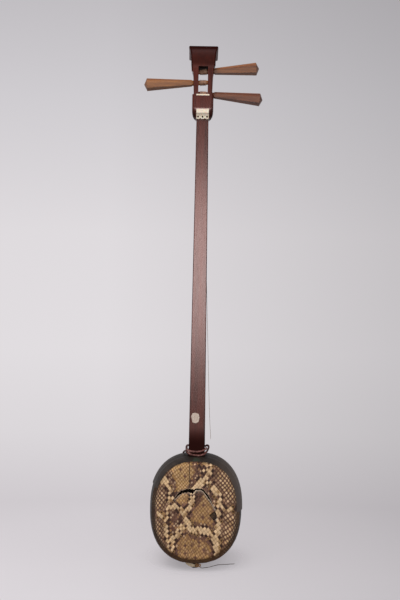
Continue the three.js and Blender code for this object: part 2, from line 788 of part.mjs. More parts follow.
function peg({ reach, turn }) {
  const root = nearFace + pegShoulder;
  const farEnd = -farFace;
  const corner = pegFace / 2;
  const rings = [
    pegRing(farEnd, shankRadius(farEnd) * pegEndShare, false, turn),
    pegRing(farEnd + corner, shankRadius(farEnd + corner), false, turn),
    pegRing(root - pegShoulder / 2, shankRadius(root - pegShoulder / 2), false, turn),
    pegRing(root, pegRootAcross / 2, true, turn),
    pegRing(reach - corner, pegTipAcross / 2, true, turn),
    pegRing(reach, pegTipAcross / 2 - corner, true, turn),
    pegRing(reach + pegCap, corner, true, turn),
  ];
  const hole = rod(
    new THREE.Vector3(0, -pegNearWidth, slotWidth / 4),
    new THREE.Vector3(0, pegNearWidth, slotWidth / 4), pegHoleWidth / 2, 8,
  );
  return cut(loft(rings), [hole]);
}

// String wound on a peg: an even helix that lets its last bit hang off
class PegWinding extends THREE.Curve {
  getPoint(share, target = new THREE.Vector3()) {
    const turns = windingTurns * share;
    const along = windingPitch * (turns - windingTurns / 2);
    const radius = shankRadius(along) + stringWidth / 2 + glueGap;
    const angle = 2 * Math.PI * turns;
    return target.set(radius * Math.cos(angle), radius * Math.sin(angle), along);
  }
}

const loopSteps = 24;
const windingSteps = 16;
const loopSides = 6;
pegs.forEach((each) => {
  add(`peg_${each.name}`, peg(each).applyMatrix4(pegPlace(each)), pegwood, 0.45);
});
pegs.forEach((each) => {
  const curve = new PegWinding();
  const steps = windingTurns * windingSteps;
  const turned = cord(curve, stringWidth, loopSides, steps).applyMatrix4(pegPlace(each));
  add(`string_on_peg_${each.name}`, turned, silk, 0.7);
  printLeastGap(`string_on_peg_${each.name}`, curve, steps, windingSteps, stringWidth);
});

// Height of the drum's top or underside at a spot, with a layer of some thickness on it
function drumHeightAt(x, y, layer, side) {
  const inset = sideInset(y) - layer;
  const share = Math.abs(x) / (drumWidth / 2 - inset);
  return drumMiddle + side * (drumHeight / 2 - inset) * (1 - share ** drumPower) ** (1 / drumPower);
}

// Neck tie: turns of a leather cord that rest on the drum and on each other
class NeckTie extends THREE.Curve {
  getPoint(share, target = new THREE.Vector3()) {
    const turns = tieTurns * share;
    const angle = 2 * Math.PI * turns - Math.PI;
    const reachX = neckBottomWidth / 2 + tieSlack + tieWidth / 2;
    const reachY = neckBottomDepth / 2 + tieSlack + tieWidth / 2;
    const across = Math.abs(Math.cos(angle)) / reachX;
    const along = Math.abs(Math.sin(angle)) / reachY;
    const radius = (across ** tiePower + along ** tiePower) ** (-1 / tiePower);
    const x = radius * Math.cos(angle);
    const y = neckFront + neckBottomDepth / 2 + radius * Math.sin(angle);
    const seat = drumHeightAt(x, y, bandLieAt(y) + bandThickness, 1);
    const lift = (tieWidth / 2 + glueGap) * tieSlopeShare;
    return target.set(x, y, seat + lift + tiePitch * turns);
  }
}

{
  const curve = new NeckTie();
  const steps = tieTurns * loopSteps;
  add('neck_tie', cord(curve, tieWidth, loopSides, steps), 0x6e5147, 0.6);
  printLeastGap('neck_tie', curve, steps, loopSteps, tieWidth);
}

// Tail cord: wound in the foot's groove
class TailCord extends THREE.Curve {
  getPoint(share, target = new THREE.Vector3()) {
    const angle = 2 * Math.PI * tailTurns * share - Math.PI / 3;
    const radius = grooveRadius + glueGap + tailWidth / 2;
    const lowest = footFlange + 2 * glueGap + tailWidth / 2;
    return target.set(
      radius * Math.cos(angle), spikeMiddle + radius * Math.sin(angle),
      lowest + tailPitch * tailTurns * share,
    );
  }
}

{
  const curve = new TailCord();
  const steps = tailTurns * loopSteps;
  add('tail_cord', cord(curve, tailWidth, loopSides, steps), 0xc9b48c, 0.7);
  printLeastGap('tail_cord', curve, steps, loopSteps, tailWidth);
}

// Knot in the tail cord, in front of the foot: an uneven ball with three lobes
const knotAngle = -Math.PI / 3;
const knotWideShare = 1.04; // of its radius, to the sides
const knotDeepShare = 0.72; // of its radius, towards the foot
const knotHighShare = 0.81; // of its radius, upwards
const knotLobeShare = 0.12; // of its radius, how far the lobes stand out
const knotReach = grooveRadius + tailWidth + 2 * glueGap + knotRadius * knotDeepShare;

function knot() {
  const geometry = new THREE.IcosahedronGeometry(knotRadius, 2);
  const position = geometry.getAttribute('position');
  const point = new THREE.Vector3();
  const size = new THREE.Vector3(knotWideShare, knotDeepShare, knotHighShare);
  for (let i = 0; i < position.count; i++) {
    point.fromBufferAttribute(position, i);
    const lobe = 1 + knotLobeShare * Math.sin((3 * (point.x + point.z)) / knotRadius);
    point.multiply(size).multiplyScalar(lobe);
    position.setXYZ(i, point.x, point.y, point.z);
  }
  geometry.translate(knotReach * Math.cos(knotAngle), 0, knotRise);
  return welded(geometry.translate(0, spikeMiddle + knotReach * Math.sin(knotAngle), 0));
}

add('tail_knot', knot(), 0x8a6748, 0.7);

// Torn rawhide strip that lies from the knot to the left, close under the drum: shares of
// its length, and of its height down from the drum
const rawhideShares = [
  [0, 0.35], [0, 0.95], [0.3, 1], [0.62, 0.8], [0.95, 0.35], [1, 0], [0.5, 0],
];

function rawhide() {
  const right = knotReach * Math.cos(knotAngle) - knotRadius - 2 * glueGap;
  const front = spikeMiddle - grooveRadius - tailWidth - 3 * glueGap - rawhideThickness;
  const outline = rawhideShares.map(([along, down]) => {
    const x = right - along * rawhideLength;
    const under = drumHeightAt(x, front + rawhideThickness, 0, -1);
    return [x, under - glueGap - down * rawhideHeight];
  });
  return plate(outline, front, rawhideThickness);
}

add('rawhide_strip', rawhide(), 0xe2cfa6, 0.6);

// A free thread through the points of its route
function thread(route, width, steps) {
  const curve = new THREE.CatmullRomCurve3(route.map((spot) => new THREE.Vector3(...spot)));
  return cord(curve, width, 8, steps);
}

add('tail_thread', thread(tailThreadRoute, tailThreadWidth, 34), 0x9a8264, 0.8);
add('loose_string', thread(looseStringRoute, looseStringWidth, 60), silk, 0.7);

// Scrap of paper stuck to the neck: its torn outline, as shares of its width and height
const paperShares = [
  [-0.5, 0.2], [-0.36, 0.46], [0.02, 0.5], [0.4, 0.4], [0.5, 0.02], [0.38, -0.38],
  [0.05, -0.5], [-0.34, -0.42], [-0.44, -0.1],
];

function paper() {
  const outline = paperShares.map(([x, z]) => [
    paperCentre + x * paperWidth, drumTop + paperRise + z * paperHeight,
  ]);
  return plate(outline, neckFront - glueGap - paperThickness, paperThickness);
}

add('paper_scrap', paper(), 0xd9d2c6, 0.9);

export default sanxian;
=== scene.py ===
# A small sanxian that stands on its foot: python-skin drum, long neck, slotted pegbox.
import math
import random
import bmesh
import bpy
from mathutils import Matrix, Vector, noise


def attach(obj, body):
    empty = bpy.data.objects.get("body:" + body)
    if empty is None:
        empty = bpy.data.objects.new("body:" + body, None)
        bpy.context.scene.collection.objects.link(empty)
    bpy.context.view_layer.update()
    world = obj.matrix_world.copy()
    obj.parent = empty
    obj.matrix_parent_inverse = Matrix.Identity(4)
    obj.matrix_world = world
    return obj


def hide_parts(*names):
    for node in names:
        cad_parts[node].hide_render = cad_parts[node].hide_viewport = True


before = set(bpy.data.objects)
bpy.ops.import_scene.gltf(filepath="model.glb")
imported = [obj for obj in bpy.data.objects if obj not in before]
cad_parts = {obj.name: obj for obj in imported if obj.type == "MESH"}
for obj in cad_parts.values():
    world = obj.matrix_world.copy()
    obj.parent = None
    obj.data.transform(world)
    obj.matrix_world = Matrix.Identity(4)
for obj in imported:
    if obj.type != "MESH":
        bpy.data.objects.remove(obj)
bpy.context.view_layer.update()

# Camera: level with the middle of the neck, 1.67 m away, and rolled by one degree,
# as the photograph was taken. The lens gives 925 pixels of focal length on 600 pixels.
camera = bpy.data.objects.new("camera", bpy.data.cameras.new("camera"))
bpy.context.scene.collection.objects.link(camera)
bpy.context.scene.camera = camera
camera.data.sensor_fit = "VERTICAL"
camera.data.sensor_height = 24
camera.data.lens = 37
camera.location = (0.0012, -1.668, 0.4814)
level = Matrix.Rotation(math.radians(90), 4, "X")
camera.rotation_euler = (level @ Matrix.Rotation(math.radians(1), 4, "Z")).to_euler()

# Loose string and tail thread: one silk string left hanging behind the neck, and the
# free end of the fibre cord at the foot, which lies on the floor. Both are twisted strands.
MM = 0.001


def linear(code):
    """The linear colour of an sRGB hex code."""
    parts = [int(code[i:i + 2], 16) / 255 for i in (0, 2, 4)]
    return [p / 12.92 if p <= 0.04045 else ((p + 0.055) / 1.055) ** 2.4 for p in parts] + [1]


def wire(node, inputs):
    """Links or sets a node's inputs. A node given as a value stands for its first output."""
    for key, value in inputs.items():
        if isinstance(value, bpy.types.Node):
            value = next(socket for socket in value.outputs if socket.enabled)
        if isinstance(value, bpy.types.NodeSocket):
            node.id_data.links.new(value, node.inputs[key])
        else:
            node.inputs[key].default_value = value


def add_node(tree, kind, inputs=None, stops=(), **settings):
    """Adds a node with its settings, its inputs and a ramp's colour stops. Shader nodes go
    by their names without ShaderNode in front."""
    node = tree.nodes.new(kind if "Node" in kind else "ShaderNode" + kind)
    for key, value in settings.items():
        setattr(node, key, value)
    wire(node, inputs or {})
    if stops:
        ramp = node.color_ramp.elements
        for _ in stops[2:]:
            ramp.new(0.5)
        for element, (place, colour) in zip(ramp, stops):
            element.position = place
            element.color = linear(colour)
    return node


def new_material(name):
    """A material with its shader and its object coordinates in an otherwise empty tree."""
    material = bpy.data.materials.new(name)
    material.use_nodes = True
    tree = material.node_tree
    tree.nodes.clear()
    shader = add_node(tree, "BsdfPrincipled")
    add_node(tree, "OutputMaterial", {"Surface": shader})
    return material, tree, shader, add_node(tree, "TexCoord").outputs["Object"]


def fibre(name, dark, light, roughness, grain_mm):
    """Twisted fibre: its colour changes along the strands, dust lies in between."""
    material, tree, shader, place = new_material(name)
    fine = add_node(tree, "TexNoise", {
        "Vector": place, "Scale": 1 / (grain_mm * MM), "Detail": 4, "Roughness": 0.6})
    broad = add_node(tree, "TexNoise", {
        "Vector": place, "Scale": 1 / (12 * grain_mm * MM), "Detail": 2})
    both = add_node(tree, "Mix", {"Factor": 0.5, "A": fine, "B": broad})
    colour = add_node(tree, "ValToRGB", {"Fac": both}, stops=[(0.34, dark), (0.64, light)])
    bump = add_node(tree, "Bump", {"Height": fine, "Strength": 0.5, "Distance": 0.1 * MM})
    wire(shader, {"Base Color": colour, "Normal": bump, "Roughness": roughness})
    return material


def strand_tree():
    """Geometry Nodes: a path becomes a strand with an oval section that twists."""
    tree = bpy.data.node_groups.new("strand", "GeometryNodeTree")
    for label, kind in (("Path", "Geometry"), ("Width", "Float"), ("Flatness", "Float"),
                        ("Lay length", "Float"), ("Point spacing", "Float"), ("Sides", "Int"),
                        ("Finish", "Material")):
        tree.interface.new_socket(label, in_out="INPUT", socket_type="NodeSocket" + kind)
    tree.interface.new_socket("Strand", in_out="OUTPUT", socket_type="NodeSocketGeometry")
    given = add_node(tree, "NodeGroupInput").outputs
    line = add_node(tree, "GeometryNodeMeshToCurve", {"Mesh": given["Path"]})
    even = add_node(tree, "GeometryNodeResampleCurve", {
        "Curve": line, "Length": given["Point spacing"]}, mode="LENGTH")
    along = add_node(tree, "GeometryNodeSplineParameter").outputs["Length"]
    turns = add_node(tree, "Math", {0: along, 1: given["Lay length"]}, operation="DIVIDE")
    twist = add_node(tree, "Math", {0: turns, 1: 2 * math.pi}, operation="MULTIPLY")
    turned = add_node(tree, "GeometryNodeSetCurveTilt", {"Curve": even, "Tilt": twist})
    radius = add_node(tree, "Math", {0: given["Width"], 1: 0.5}, operation="MULTIPLY")
    ring = add_node(tree, "GeometryNodeCurvePrimitiveCircle", {
        "Resolution": given["Sides"], "Radius": radius})
    oval = add_node(tree, "CombineXYZ", {"X": 1.0, "Y": given["Flatness"], "Z": 1.0})
    section = add_node(tree, "GeometryNodeTransform", {"Geometry": ring, "Scale": oval})
    tube = add_node(tree, "GeometryNodeCurveToMesh", {
        "Curve": turned, "Profile Curve": section, "Fill Caps": True})
    smooth = add_node(tree, "GeometryNodeSetShadeSmooth", {"Geometry": tube})
    real = add_node(tree, "GeometryNodeRealizeInstances", {"Geometry": smooth})
    coated = add_node(tree, "GeometryNodeSetMaterial", {
        "Geometry": real, "Material": given["Finish"]})
    add_node(tree, "NodeGroupOutput", {0: coated})
    return tree


STRAND = strand_tree()


def linked(name, mesh, material):
    """An object of that mesh and material, in the scene."""
    piece = bpy.data.objects.new(name, mesh)
    bpy.context.scene.collection.objects.link(piece)
    if not mesh.materials:
        mesh.materials.append(material)
    return piece


def applied(piece):
    """The piece with its modifiers applied."""
    bpy.context.view_layer.update()
    graph = bpy.context.evaluated_depsgraph_get()
    mesh = bpy.data.meshes.new_from_object(piece.evaluated_get(graph), depsgraph=graph)
    piece.modifiers.clear()
    piece.data = mesh
    return piece


def grown(piece, tree, values):
    """The piece as the plain mesh that a Geometry Nodes tree makes of it."""
    modifier = piece.modifiers.new("grow", "NODES")
    modifier.node_group = tree
    names = {item.name: item.identifier for item in tree.interface.items_tree}
    for label, value in values.items():
        modifier[names[label]] = value
    applied(piece).data.validate()
    return piece


def curve_points(route, per_span):
    """Points of a smooth line through the spots of a route, in metres."""
    spots = [Vector(spot) for spot in route]
    spots = [2 * spots[0] - spots[1]] + spots + [2 * spots[-1] - spots[-2]]
    points = []
    for a, b, c, d in zip(spots, spots[1:], spots[2:], spots[3:]):
        for step in range(per_span):
            t = step / per_span
            points.append(0.5 * ((2 * b) + (c - a) * t + (2 * a - 5 * b + 4 * c - d) * t ** 2
                                 + (3 * b - a - 3 * c + d) * t ** 3) * MM)
    points.append(spots[-2] * MM)
    return points


def strand(name, points, width, material, flatness=0.8, lay=6.0, sides=10, spacing=0.0004):
    """A twisted strand along points in metres. Widths are in millimetres."""
    path = bpy.data.meshes.new(name)
    path.from_pydata(points, [(i, i + 1) for i in range(len(points) - 1)], [])
    return grown(linked(name, path, material), STRAND, {
        "Width": width * MM, "Flatness": flatness, "Lay length": lay * width * MM,
        "Point spacing": spacing, "Sides": sides, "Finish": material})


def placed(piece, node, body="body"):
    """Hides the CAD node that a piece stands for, and hangs the piece on the body it rides on."""
    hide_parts(node)
    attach(piece, body)


# Spots that each cord passes, in millimetres
LOOSE_STRING_ROUTE = [
    (0.6, -4, 839.7), (0.6, 0, 839.4), (0.7, 4, 839.2), (0.75, 6.2, 838.9), (0.85, 7.1, 837.4),
    (1, 7.2, 833), (1.4, 7.4, 820), (2.2, 7.7, 795), (4.2, 7.9, 740), (7, 7.3, 660),
    (10.4, 6.6, 570), (13.8, 5.8, 480), (17.2, 5, 390), (20.4, 4.2, 310), (22.8, 3.6, 262),
    (24.4, 3.2, 240), (24.9, 3, 230.5)]
TAIL_THREAD_ROUTE = [
    (9.1, -9.5, 3.45), (10.7, -9.6, 1.75), (12.6, -9.2, 0.85), (15.4, -7.8, 0.7), (19, -6, 0.7),
    (24, -3.4, 0.7), (29, 0.8, 0.7), (35, 7, 0.7), (40.8, 12.6, 0.7), (48, 15.4, 0.7),
    (57, 17.2, 0.7), (65, 19.6, 0.7), (72.5, 21.6, 0.7)]

# Twisted silk is pale and a little glossy. Hemp is dull, dark and dusty.
silk = fibre("twisted_silk_string", "6e5a44", "c9b090", 0.55, 0.3)
thread_fibre = fibre("brown_hemp_thread", "31241d", "6f5a4c", 0.85, 0.4)

loose_points = curve_points(LOOSE_STRING_ROUTE, 12)
loose_string = strand("hanging_silk_string", loose_points, 0.7, silk, lay=5, sides=8,
                      spacing=0.0008)
placed(loose_string, "loose_string")

tail_points = curve_points(TAIL_THREAD_ROUTE, 12)
tail_thread = strand("tail_thread_on_floor", tail_points, 1.2, thread_fibre, flatness=0.75, lay=4)
placed(tail_thread, "tail_thread")

# Drum frame: four curved blocks of hardwood, glued end to end and stained dark. Their
# outside swells from both skins, and the neck's foot goes through the top and bottom ones.
DRUM_WIDTH, DRUM_HEIGHT, DRUM_MIDDLE = 164.6, 196.5, 107.25
DRUM_POWER, DRUM_BULGE, FRAME_HALF = 2.4, 15, 37.4
BLOCK_DEPTH, BLOCK_GLUE_DEGREES, SPIKE_HOLE_RADIUS = 22, 0.12, 5
# The neck, for its socket: width and depth at the drum and at the head
NECK_FOOT_Z, NECK_LENGTH, NECK_FRONT_Y = 196.5, 607.4, -20
NECK_AT_DRUM, NECK_AT_HEAD = (29.2, 28), (21.5, 24)
NECK_CORNER, NECK_CHEEK = 1.2, 8


def drum_radius(angle, inset):
    """Distance from the drum's middle to its outline, in millimetres."""
    across = abs(math.cos(angle)) / (DRUM_WIDTH / 2 - inset)
    along = abs(math.sin(angle)) / (DRUM_HEIGHT / 2 - inset)
    return (across ** DRUM_POWER + along ** DRUM_POWER) ** (-1 / DRUM_POWER)


def side_inset(y):
    """How far the swollen side lies inside the drum's widest outline at a depth."""
    return DRUM_BULGE * (min(abs(y), FRAME_HALF) / FRAME_HALF) ** 2


def drum_point(angle, inset, y):
    """A spot on the drum's side, in metres."""
    radius = drum_radius(angle, inset)
    return Vector((radius * math.cos(angle), y, DRUM_MIDDLE + radius * math.sin(angle))) * MM


def neck_ring(z, grow):
    """The neck's outline at a height: flat in front, round behind."""
    share = (z - NECK_FOOT_Z) / NECK_LENGTH
    width, depth = [a + (b - a) * share + 2 * grow for a, b in zip(NECK_AT_DRUM, NECK_AT_HEAD)]
    half, front = width / 2, NECK_FRONT_Y - grow
    ring = [(-half, front + NECK_CORNER), (-half + NECK_CORNER, front),
            (half - NECK_CORNER, front), (half, front + NECK_CORNER)]
    for i in range(25):
        angle = math.pi * i / 24
        ring.append((half * math.cos(angle),
                     front + NECK_CHEEK + (depth - NECK_CHEEK) * math.sin(angle)))
    return [Vector((x, y, z)) * MM for x, y in ring]


def circle(radius, count, z):
    """A level circle round the axis of the foot."""
    return [Vector((radius * math.cos(angle), radius * math.sin(angle), z)) * MM
            for angle in [2 * math.pi * i / count for i in range(count)]]


def tidied(piece, sharp=35):
    """Faces out, smooth, with the corners above an angle kept sharp."""
    mesh = piece.data
    form = bmesh.new()
    form.from_mesh(mesh)
    bmesh.ops.remove_doubles(form, verts=form.verts, dist=0.002 * MM)
    bmesh.ops.recalc_face_normals(form, faces=form.faces)
    form.to_mesh(mesh)
    form.free()
    mesh.shade_smooth()
    mesh.set_sharp_from_angle(angle=math.radians(sharp))
    return piece


def lofted(name, rings, material):
    """A closed body between rings of equal point counts."""
    count = len(rings[0])
    faces = [tuple(reversed(range(count)))]
    for start in range(0, (len(rings) - 1) * count, count):
        for i in range(count):
            a, b = start + i, start + (i + 1) % count
            faces.append((a, b, b + count, a + count))
    faces.append(tuple((len(rings) - 1) * count + i for i in range(count)))
    mesh = bpy.data.meshes.new(name)
    mesh.from_pydata([point for ring in rings for point in ring], [], faces)
    return tidied(linked(name, mesh, material))


def arc_piece(name, profile, start, end, steps, material):
    """A closed body whose profile runs round the drum between two angles in degrees."""
    angles = [math.radians(start + (end - start) * s / steps) for s in range(steps + 1)]
    return lofted(name, [[drum_point(angle, inset, y) for inset, y in profile]
                         for angle in angles], material)


def cut_by(piece, cutter):
    """Cuts one piece with another, which is then gone."""
    modifier = piece.modifiers.new("cut", "BOOLEAN")
    modifier.operation = "DIFFERENCE"
    modifier.solver = "EXACT"
    modifier.object = cutter
    applied(piece)
    bpy.data.objects.remove(cutter)
    return tidied(piece)


def dark_stained(name, deep, worn):
    """A nearly black stain: matt, dusty, worn brown where hands touch it."""
    material, tree, shader, place = new_material(name)
    patches = add_node(tree, "TexNoise", {
        "Vector": place, "Scale": 1 / (14 * MM), "Detail": 5, "Roughness": 0.65})
    speckle = add_node(tree, "TexNoise", {"Vector": place, "Scale": 1 / (0.9 * MM), "Detail": 3})
    both = add_node(tree, "Mix", {"Factor": 0.5, "A": patches, "B": speckle})
    colour = add_node(tree, "ValToRGB", {"Fac": both}, stops=[(0.38, deep), (0.62, worn)])
    rough = add_node(tree, "MapRange", {"Value": patches, "To Min": 0.42, "To Max": 0.66})
    bump = add_node(tree, "Bump", {"Height": both, "Strength": 0.35, "Distance": 0.25 * MM})
    wire(shader, {"Base Color": colour, "Roughness": rough, "Normal": bump})
    return material


frame_wood = dark_stained("stained_frame_wood", "19130f", "362b24")
frame_profile = [(side_inset(y), y) for y in
                 [-FRAME_HALF + 2 * FRAME_HALF * i / 24 for i in range(25)]]
frame_profile += [(BLOCK_DEPTH, FRAME_HALF), (BLOCK_DEPTH, -FRAME_HALF)]
for block, start, end in (("right", -50, 50), ("top", 50, 130), ("left", 130, 230),
                          ("bottom", 230, 310)):
    piece = arc_piece("drum_block_" + block, frame_profile, start + BLOCK_GLUE_DEGREES,
                      end - BLOCK_GLUE_DEGREES, 40, frame_wood)
    if block == "top":
        cut_by(piece, lofted("socket", [neck_ring(180, 0.3), neck_ring(220, 0.3)], frame_wood))
    if block == "bottom":
        well = [circle(SPIKE_HOLE_RADIUS, 32, z) for z in (-5, 40)]
        cut_by(piece, lofted("well", well, frame_wood))
    placed(piece, "frame_" + block)

# Skins: dried python skin, stretched wet over the frame and turned down over its edge.
# Each scale is a low pillow. The front skin is torn across, and a second hole lies
# beside the torn flap, which stands a little away from the frame.
SKIN_Y, SKIN_THICKNESS = 38.5, 0.7

# The net of pale bands between the saddles: x, height and half width in millimetres
NET = [
    [(-62, 161, 3.5), (-53.4, 167.2, 4), (-47.7, 153, 4), (-44, 137.3, 3.8), (-44, 124.7, 4),
     (-47, 113.7, 4), (-50.7, 98, 3.1), (-52, 83.8, 3.1), (-49.4, 68.1, 3.5), (-44.4, 55.5, 4),
     (-41.8, 41.3, 3.8), (-44.8, 31.9, 3)],
    [(-47, 113.7, 3.5), (-53.9, 104.2, 3.1), (-60.9, 99.5, 2.8), (-69.7, 105.8, 2.5)],
    [(-40.5, 122, 2.8), (-28.9, 114.5, 3.5), (-19.4, 106.6, 3.8), (-15.3, 98, 4),
     (-18.3, 88.5, 4), (-26.7, 75.9, 4.4), (-35.1, 63.4, 4.6), (-39.6, 52.3, 4.8),
     (-42.5, 38.2, 4.7)],
    [(-1.5, 149, 3.4), (-4.2, 140.4, 4.6), (-7.1, 127.8, 4.3), (-11.7, 116.8, 4),
     (-16.2, 104.2, 4)],
    [(-15.2, 96.4, 3.8), (-10.3, 85.4, 4.6), (-3.1, 75.9, 5.6), (7.9, 75.9, 6),
     (18.9, 75.2, 6), (28.5, 68.1, 5.3), (35.8, 57.1, 4.7), (39.9, 44.5, 4.7), (38.5, 30, 4)],
    [(39.8, 140.4, 4), (43.2, 126.3, 4.3), (41.1, 113.7, 4), (39.7, 101.1, 4),
     (42.3, 88.5, 4.3), (39.4, 75.9, 4.6), (38, 63.4, 4.6), (41.4, 50.8, 4), (42.4, 36, 3.5)],
    [(43.3, 121.6, 2.6), (51.3, 115.3, 2.6), (60.7, 113.7, 2.6), (72, 118, 2.2)]]
PALE_CORNER = [
    (4, 204), (26.3, 204), (28.9, 181.3), (27.6, 167.2), (34.8, 156.2), (40.6, 142),
    (44, 126.3), (37.7, 124.7), (34.4, 134.1), (29.6, 140.4), (27, 151.4), (21.4, 159.3),
    (16.7, 160.1), (12.8, 154.6), (8.2, 151.4), (-4.4, 148.6), (3.3, 160.9), (10.9, 173.5),
    (11.4, 182.9)]
# Saddles: what fills them, how wide their dark border is, and their outline
SADDLES = [
    ("gold", 8, [(-46, 204), (9, 204), (13.1, 182.9), (10.9, 173.5), (3.3, 160.9), (-4.4, 148.6),
                 (-10.6, 145.1), (-32.6, 143.6), (-36.7, 156.2), (-41.7, 168.7)]),
    ("dark", 0, [(-43, 156.2), (-35.9, 154.6), (-31.7, 140.4), (-36.2, 127.8), (-41, 131)]),
    ("gold", 4, [(-35.4, 124.7), (-29.4, 140.4), (-9, 144), (-11.1, 127.8), (-16.3, 113.7),
                 (-21, 110.5), (-29, 116.8)]),
    ("dark", 0, [(-46.8, 103.5), (-35.9, 109), (-22.4, 101.1), (-23.8, 88.5), (-34.5, 75.9),
                 (-42.9, 61.8), (-47.5, 77.5), (-49, 93.2)]),
    ("gold", 7.5, [(0.4, 147), (11.4, 148), (21.1, 134.1), (35.5, 115.3), (36.6, 98),
                   (36.2, 80.7), (18.8, 81.4), (-3.2, 83), (-12, 88.5), (-15.3, 98),
                   (-11.6, 110.5), (-5.4, 120), (-1.7, 132.6)]),
    ("dark", 0, [(16.7, 159.3), (21.4, 158.5), (27, 151.4), (30.4, 138.9), (34.5, 131),
                 (33.9, 118.4), (25.9, 129.4), (17.8, 138.9), (11.4, 147.5), (13.6, 154.6)]),
    ("gold", 8.5, [(-20.5, 82.2), (-9.3, 69.6), (6.5, 68.9), (22.2, 67.3), (32.6, 57.1),
                   (36.8, 41.3), (34, 20), (-2.1, 0), (-36.8, 20), (-40.2, 36.6),
                   (-32.6, 53.9), (-26.6, 69.6)])]


def rise(value, start, full):
    """0 up to the start, 1 from full on, and even in between."""
    return min(1, max(0, (value - start) / (full - start)))


def segment_distance(x, z, start, end):
    """Distance from a spot to a segment, and how far along it the nearest point is."""
    dx, dz = end[0] - start[0], end[1] - start[1]
    t = rise((x - start[0]) * dx + (z - start[1]) * dz, 0, dx * dx + dz * dz)
    return math.hypot(x - start[0] - dx * t, z - start[1] - dz * t), t


def outline_level(x, z, outline):
    """Distance from an outline: below zero inside it."""
    far, inside = 999, False
    for (ax, az), (bx, bz) in zip(outline, outline[1:] + outline[:1]):
        far = min(far, segment_distance(x, z, (ax, az), (bx, bz))[0])
        if (az > z) != (bz > z) and x < ax + (z - az) * (bx - ax) / (bz - az):
            inside = not inside
    return -far if inside else far


def net_distance(x, z):
    """Distance from a spot to the nearest pale area: below zero inside it."""
    least = outline_level(x, z, PALE_CORNER)
    for band in NET:
        for start, end in zip(band, band[1:]):
            far, t = segment_distance(x, z, start, end)
            least = min(least, far - start[2] - (end[2] - start[2]) * t)
    return least


# Tones run from a dark dot through dark brown, purple brown and gold to cream.
DOT, BROWN, PURPLE, GOLD, CREAM = 0.0, 0.25, 0.45, 0.7, 1.0
TONE_COLOURS = [(DOT, "2a1308"), (BROWN, "573526"), (PURPLE, "8c6350"), (GOLD, "bf9154"),
                (CREAM, "f5d0a3")]
# How far the outlines above lie from the pattern, the spine's place, and how far from the
# net its dark row, a saddle's brown row and the field's dim row reach
PATTERN_X, PATTERN_Z, SPINE_X = 0.6, 1.2, -12
DARK_ROW, BROWN_ROW, DIM_ROW = 2.8, 3.5, 7


def scale_look(x, z, rng):
    """The tone of one scale, the tone of its middle, how strong that is, and its shade."""
    x, z = x + PATTERN_X, z + PATTERN_Z
    shade = rng.random()
    edge = net_distance(x, z) - 0.4 + 1.3 * noise.noise((x * 0.16, z * 0.16, 3))
    odd = rng.random()
    if edge < 0:  # the net: clean low on the drum, blotched at the upper right
        calm = 0.35 if -20 < x < 34 and 52 < z < 92 else 1
        if odd < 0.16 * calm or (odd > 0.74 and z > 170 and x > 0):
            return rng.uniform(0.25, 0.6), DOT, 0.85, shade
        if odd < 0.34 * calm:
            return rng.uniform(0.72, 0.9), rng.choice((BROWN, PURPLE)), 0.6, shade
        return CREAM - rng.uniform(0, 0.16), CREAM, 0.6, shade
    fill, border = "field", 0
    for kind, depth, outline in SADDLES:
        if outline_level(x, z, outline) < 0:
            fill, border = kind, depth
    cloud = noise.noise((x * 0.045, z * 0.045, 5))
    if edge < DARK_ROW and (fill != "field" or odd < 0.6):
        return (0.62, DOT, 0.95, shade) if odd < 0.22 else (0.2, DOT, 0.85, shade)
    if fill == "gold":
        high = rise(z, 110, 150)
        border = border * (0.85 + 0.5 * cloud) + (5 * high if x > SPINE_X else 0)
        if edge < border:
            return (rng.uniform(0.28, 0.5), rng.choice((DOT, DOT, BROWN, PURPLE, GOLD, CREAM)),
                    0.65, shade)
        if edge < border + BROWN_ROW:
            return rng.uniform(0.5, 0.66), rng.choice((BROWN, GOLD, GOLD)), 0.5, shade
        if odd < 0.12 - 0.06 * high:
            return rng.uniform(0.4, 0.55), BROWN, 0.6, shade
        # The gold's own tone is lighter higher up: painted light that falls off down the drum
        return (0.58 + 0.07 * high + rng.uniform(-0.07, 0.07),
                0.79 + 0.11 * high + rng.uniform(-0.06, 0.06), 0.62, shade)
    if fill == "dark":
        return rng.uniform(0.26, 0.48), rng.choice((DOT, BROWN, GOLD, CREAM)), 0.65, shade
    bright = min(1, max(0.15, 0.82 + 0.9 * cloud))
    if edge < DIM_ROW:
        bright *= 0.45
    return rng.uniform(0.26, 0.4), rng.uniform(0.8, 0.98), bright, shade


# Tear: its middle line and half opening, then the hole beside the flap, in millimetres
TEAR = [
    (-38.5, 129.5, 0), (-36.5, 131.8, 1.8), (-31, 138.2, 2.8), (-26.5, 141.9, 3),
    (-21, 143.7, 3.1), (-13.8, 145.4, 3.4), (-8.5, 144.6, 3.6), (-5.2, 143.6, 3.8),
    (-2.8, 145.4, 2.3), (-0.8, 147.7, 1.4), (2.5, 147.9, 1.6), (5.4, 147.8, 1.2),
    (7.4, 147.9, 0.8), (9.6, 147.8, 1.6), (12.8, 145.8, 2.2), (17.6, 140.4, 2.3),
    (21.7, 135, 2.5), (24.6, 131.2, 2.4), (27, 127.2, 1.5), (29.6, 121.6, 0.8),
    (32.7, 116, 0.5), (35, 112.8, 0)]
TEAR_HOLE = [(24.1, 102.7), (29.6, 107.2), (34.6, 110.2), (37.2, 103.3), (37, 96.2),
             (32.5, 93.3), (28.4, 97.4)]


def tear_at(x):
    """Height of the tear's middle line and its half opening at x."""
    if not TEAR[0][0] < x < TEAR[-1][0]:
        return None
    for start, end in zip(TEAR, TEAR[1:]):
        if x <= end[0]:
            t = (x - start[0]) / (end[0] - start[0])
            height = start[1] + (end[1] - start[1]) * t + 0.7 * noise.noise((0.5 * x, 0, 21))
            opening = start[2] + (end[2] - start[2]) * t
            return height, opening * (1 + 0.5 * noise.noise((0.4 * x, 0, 23)))


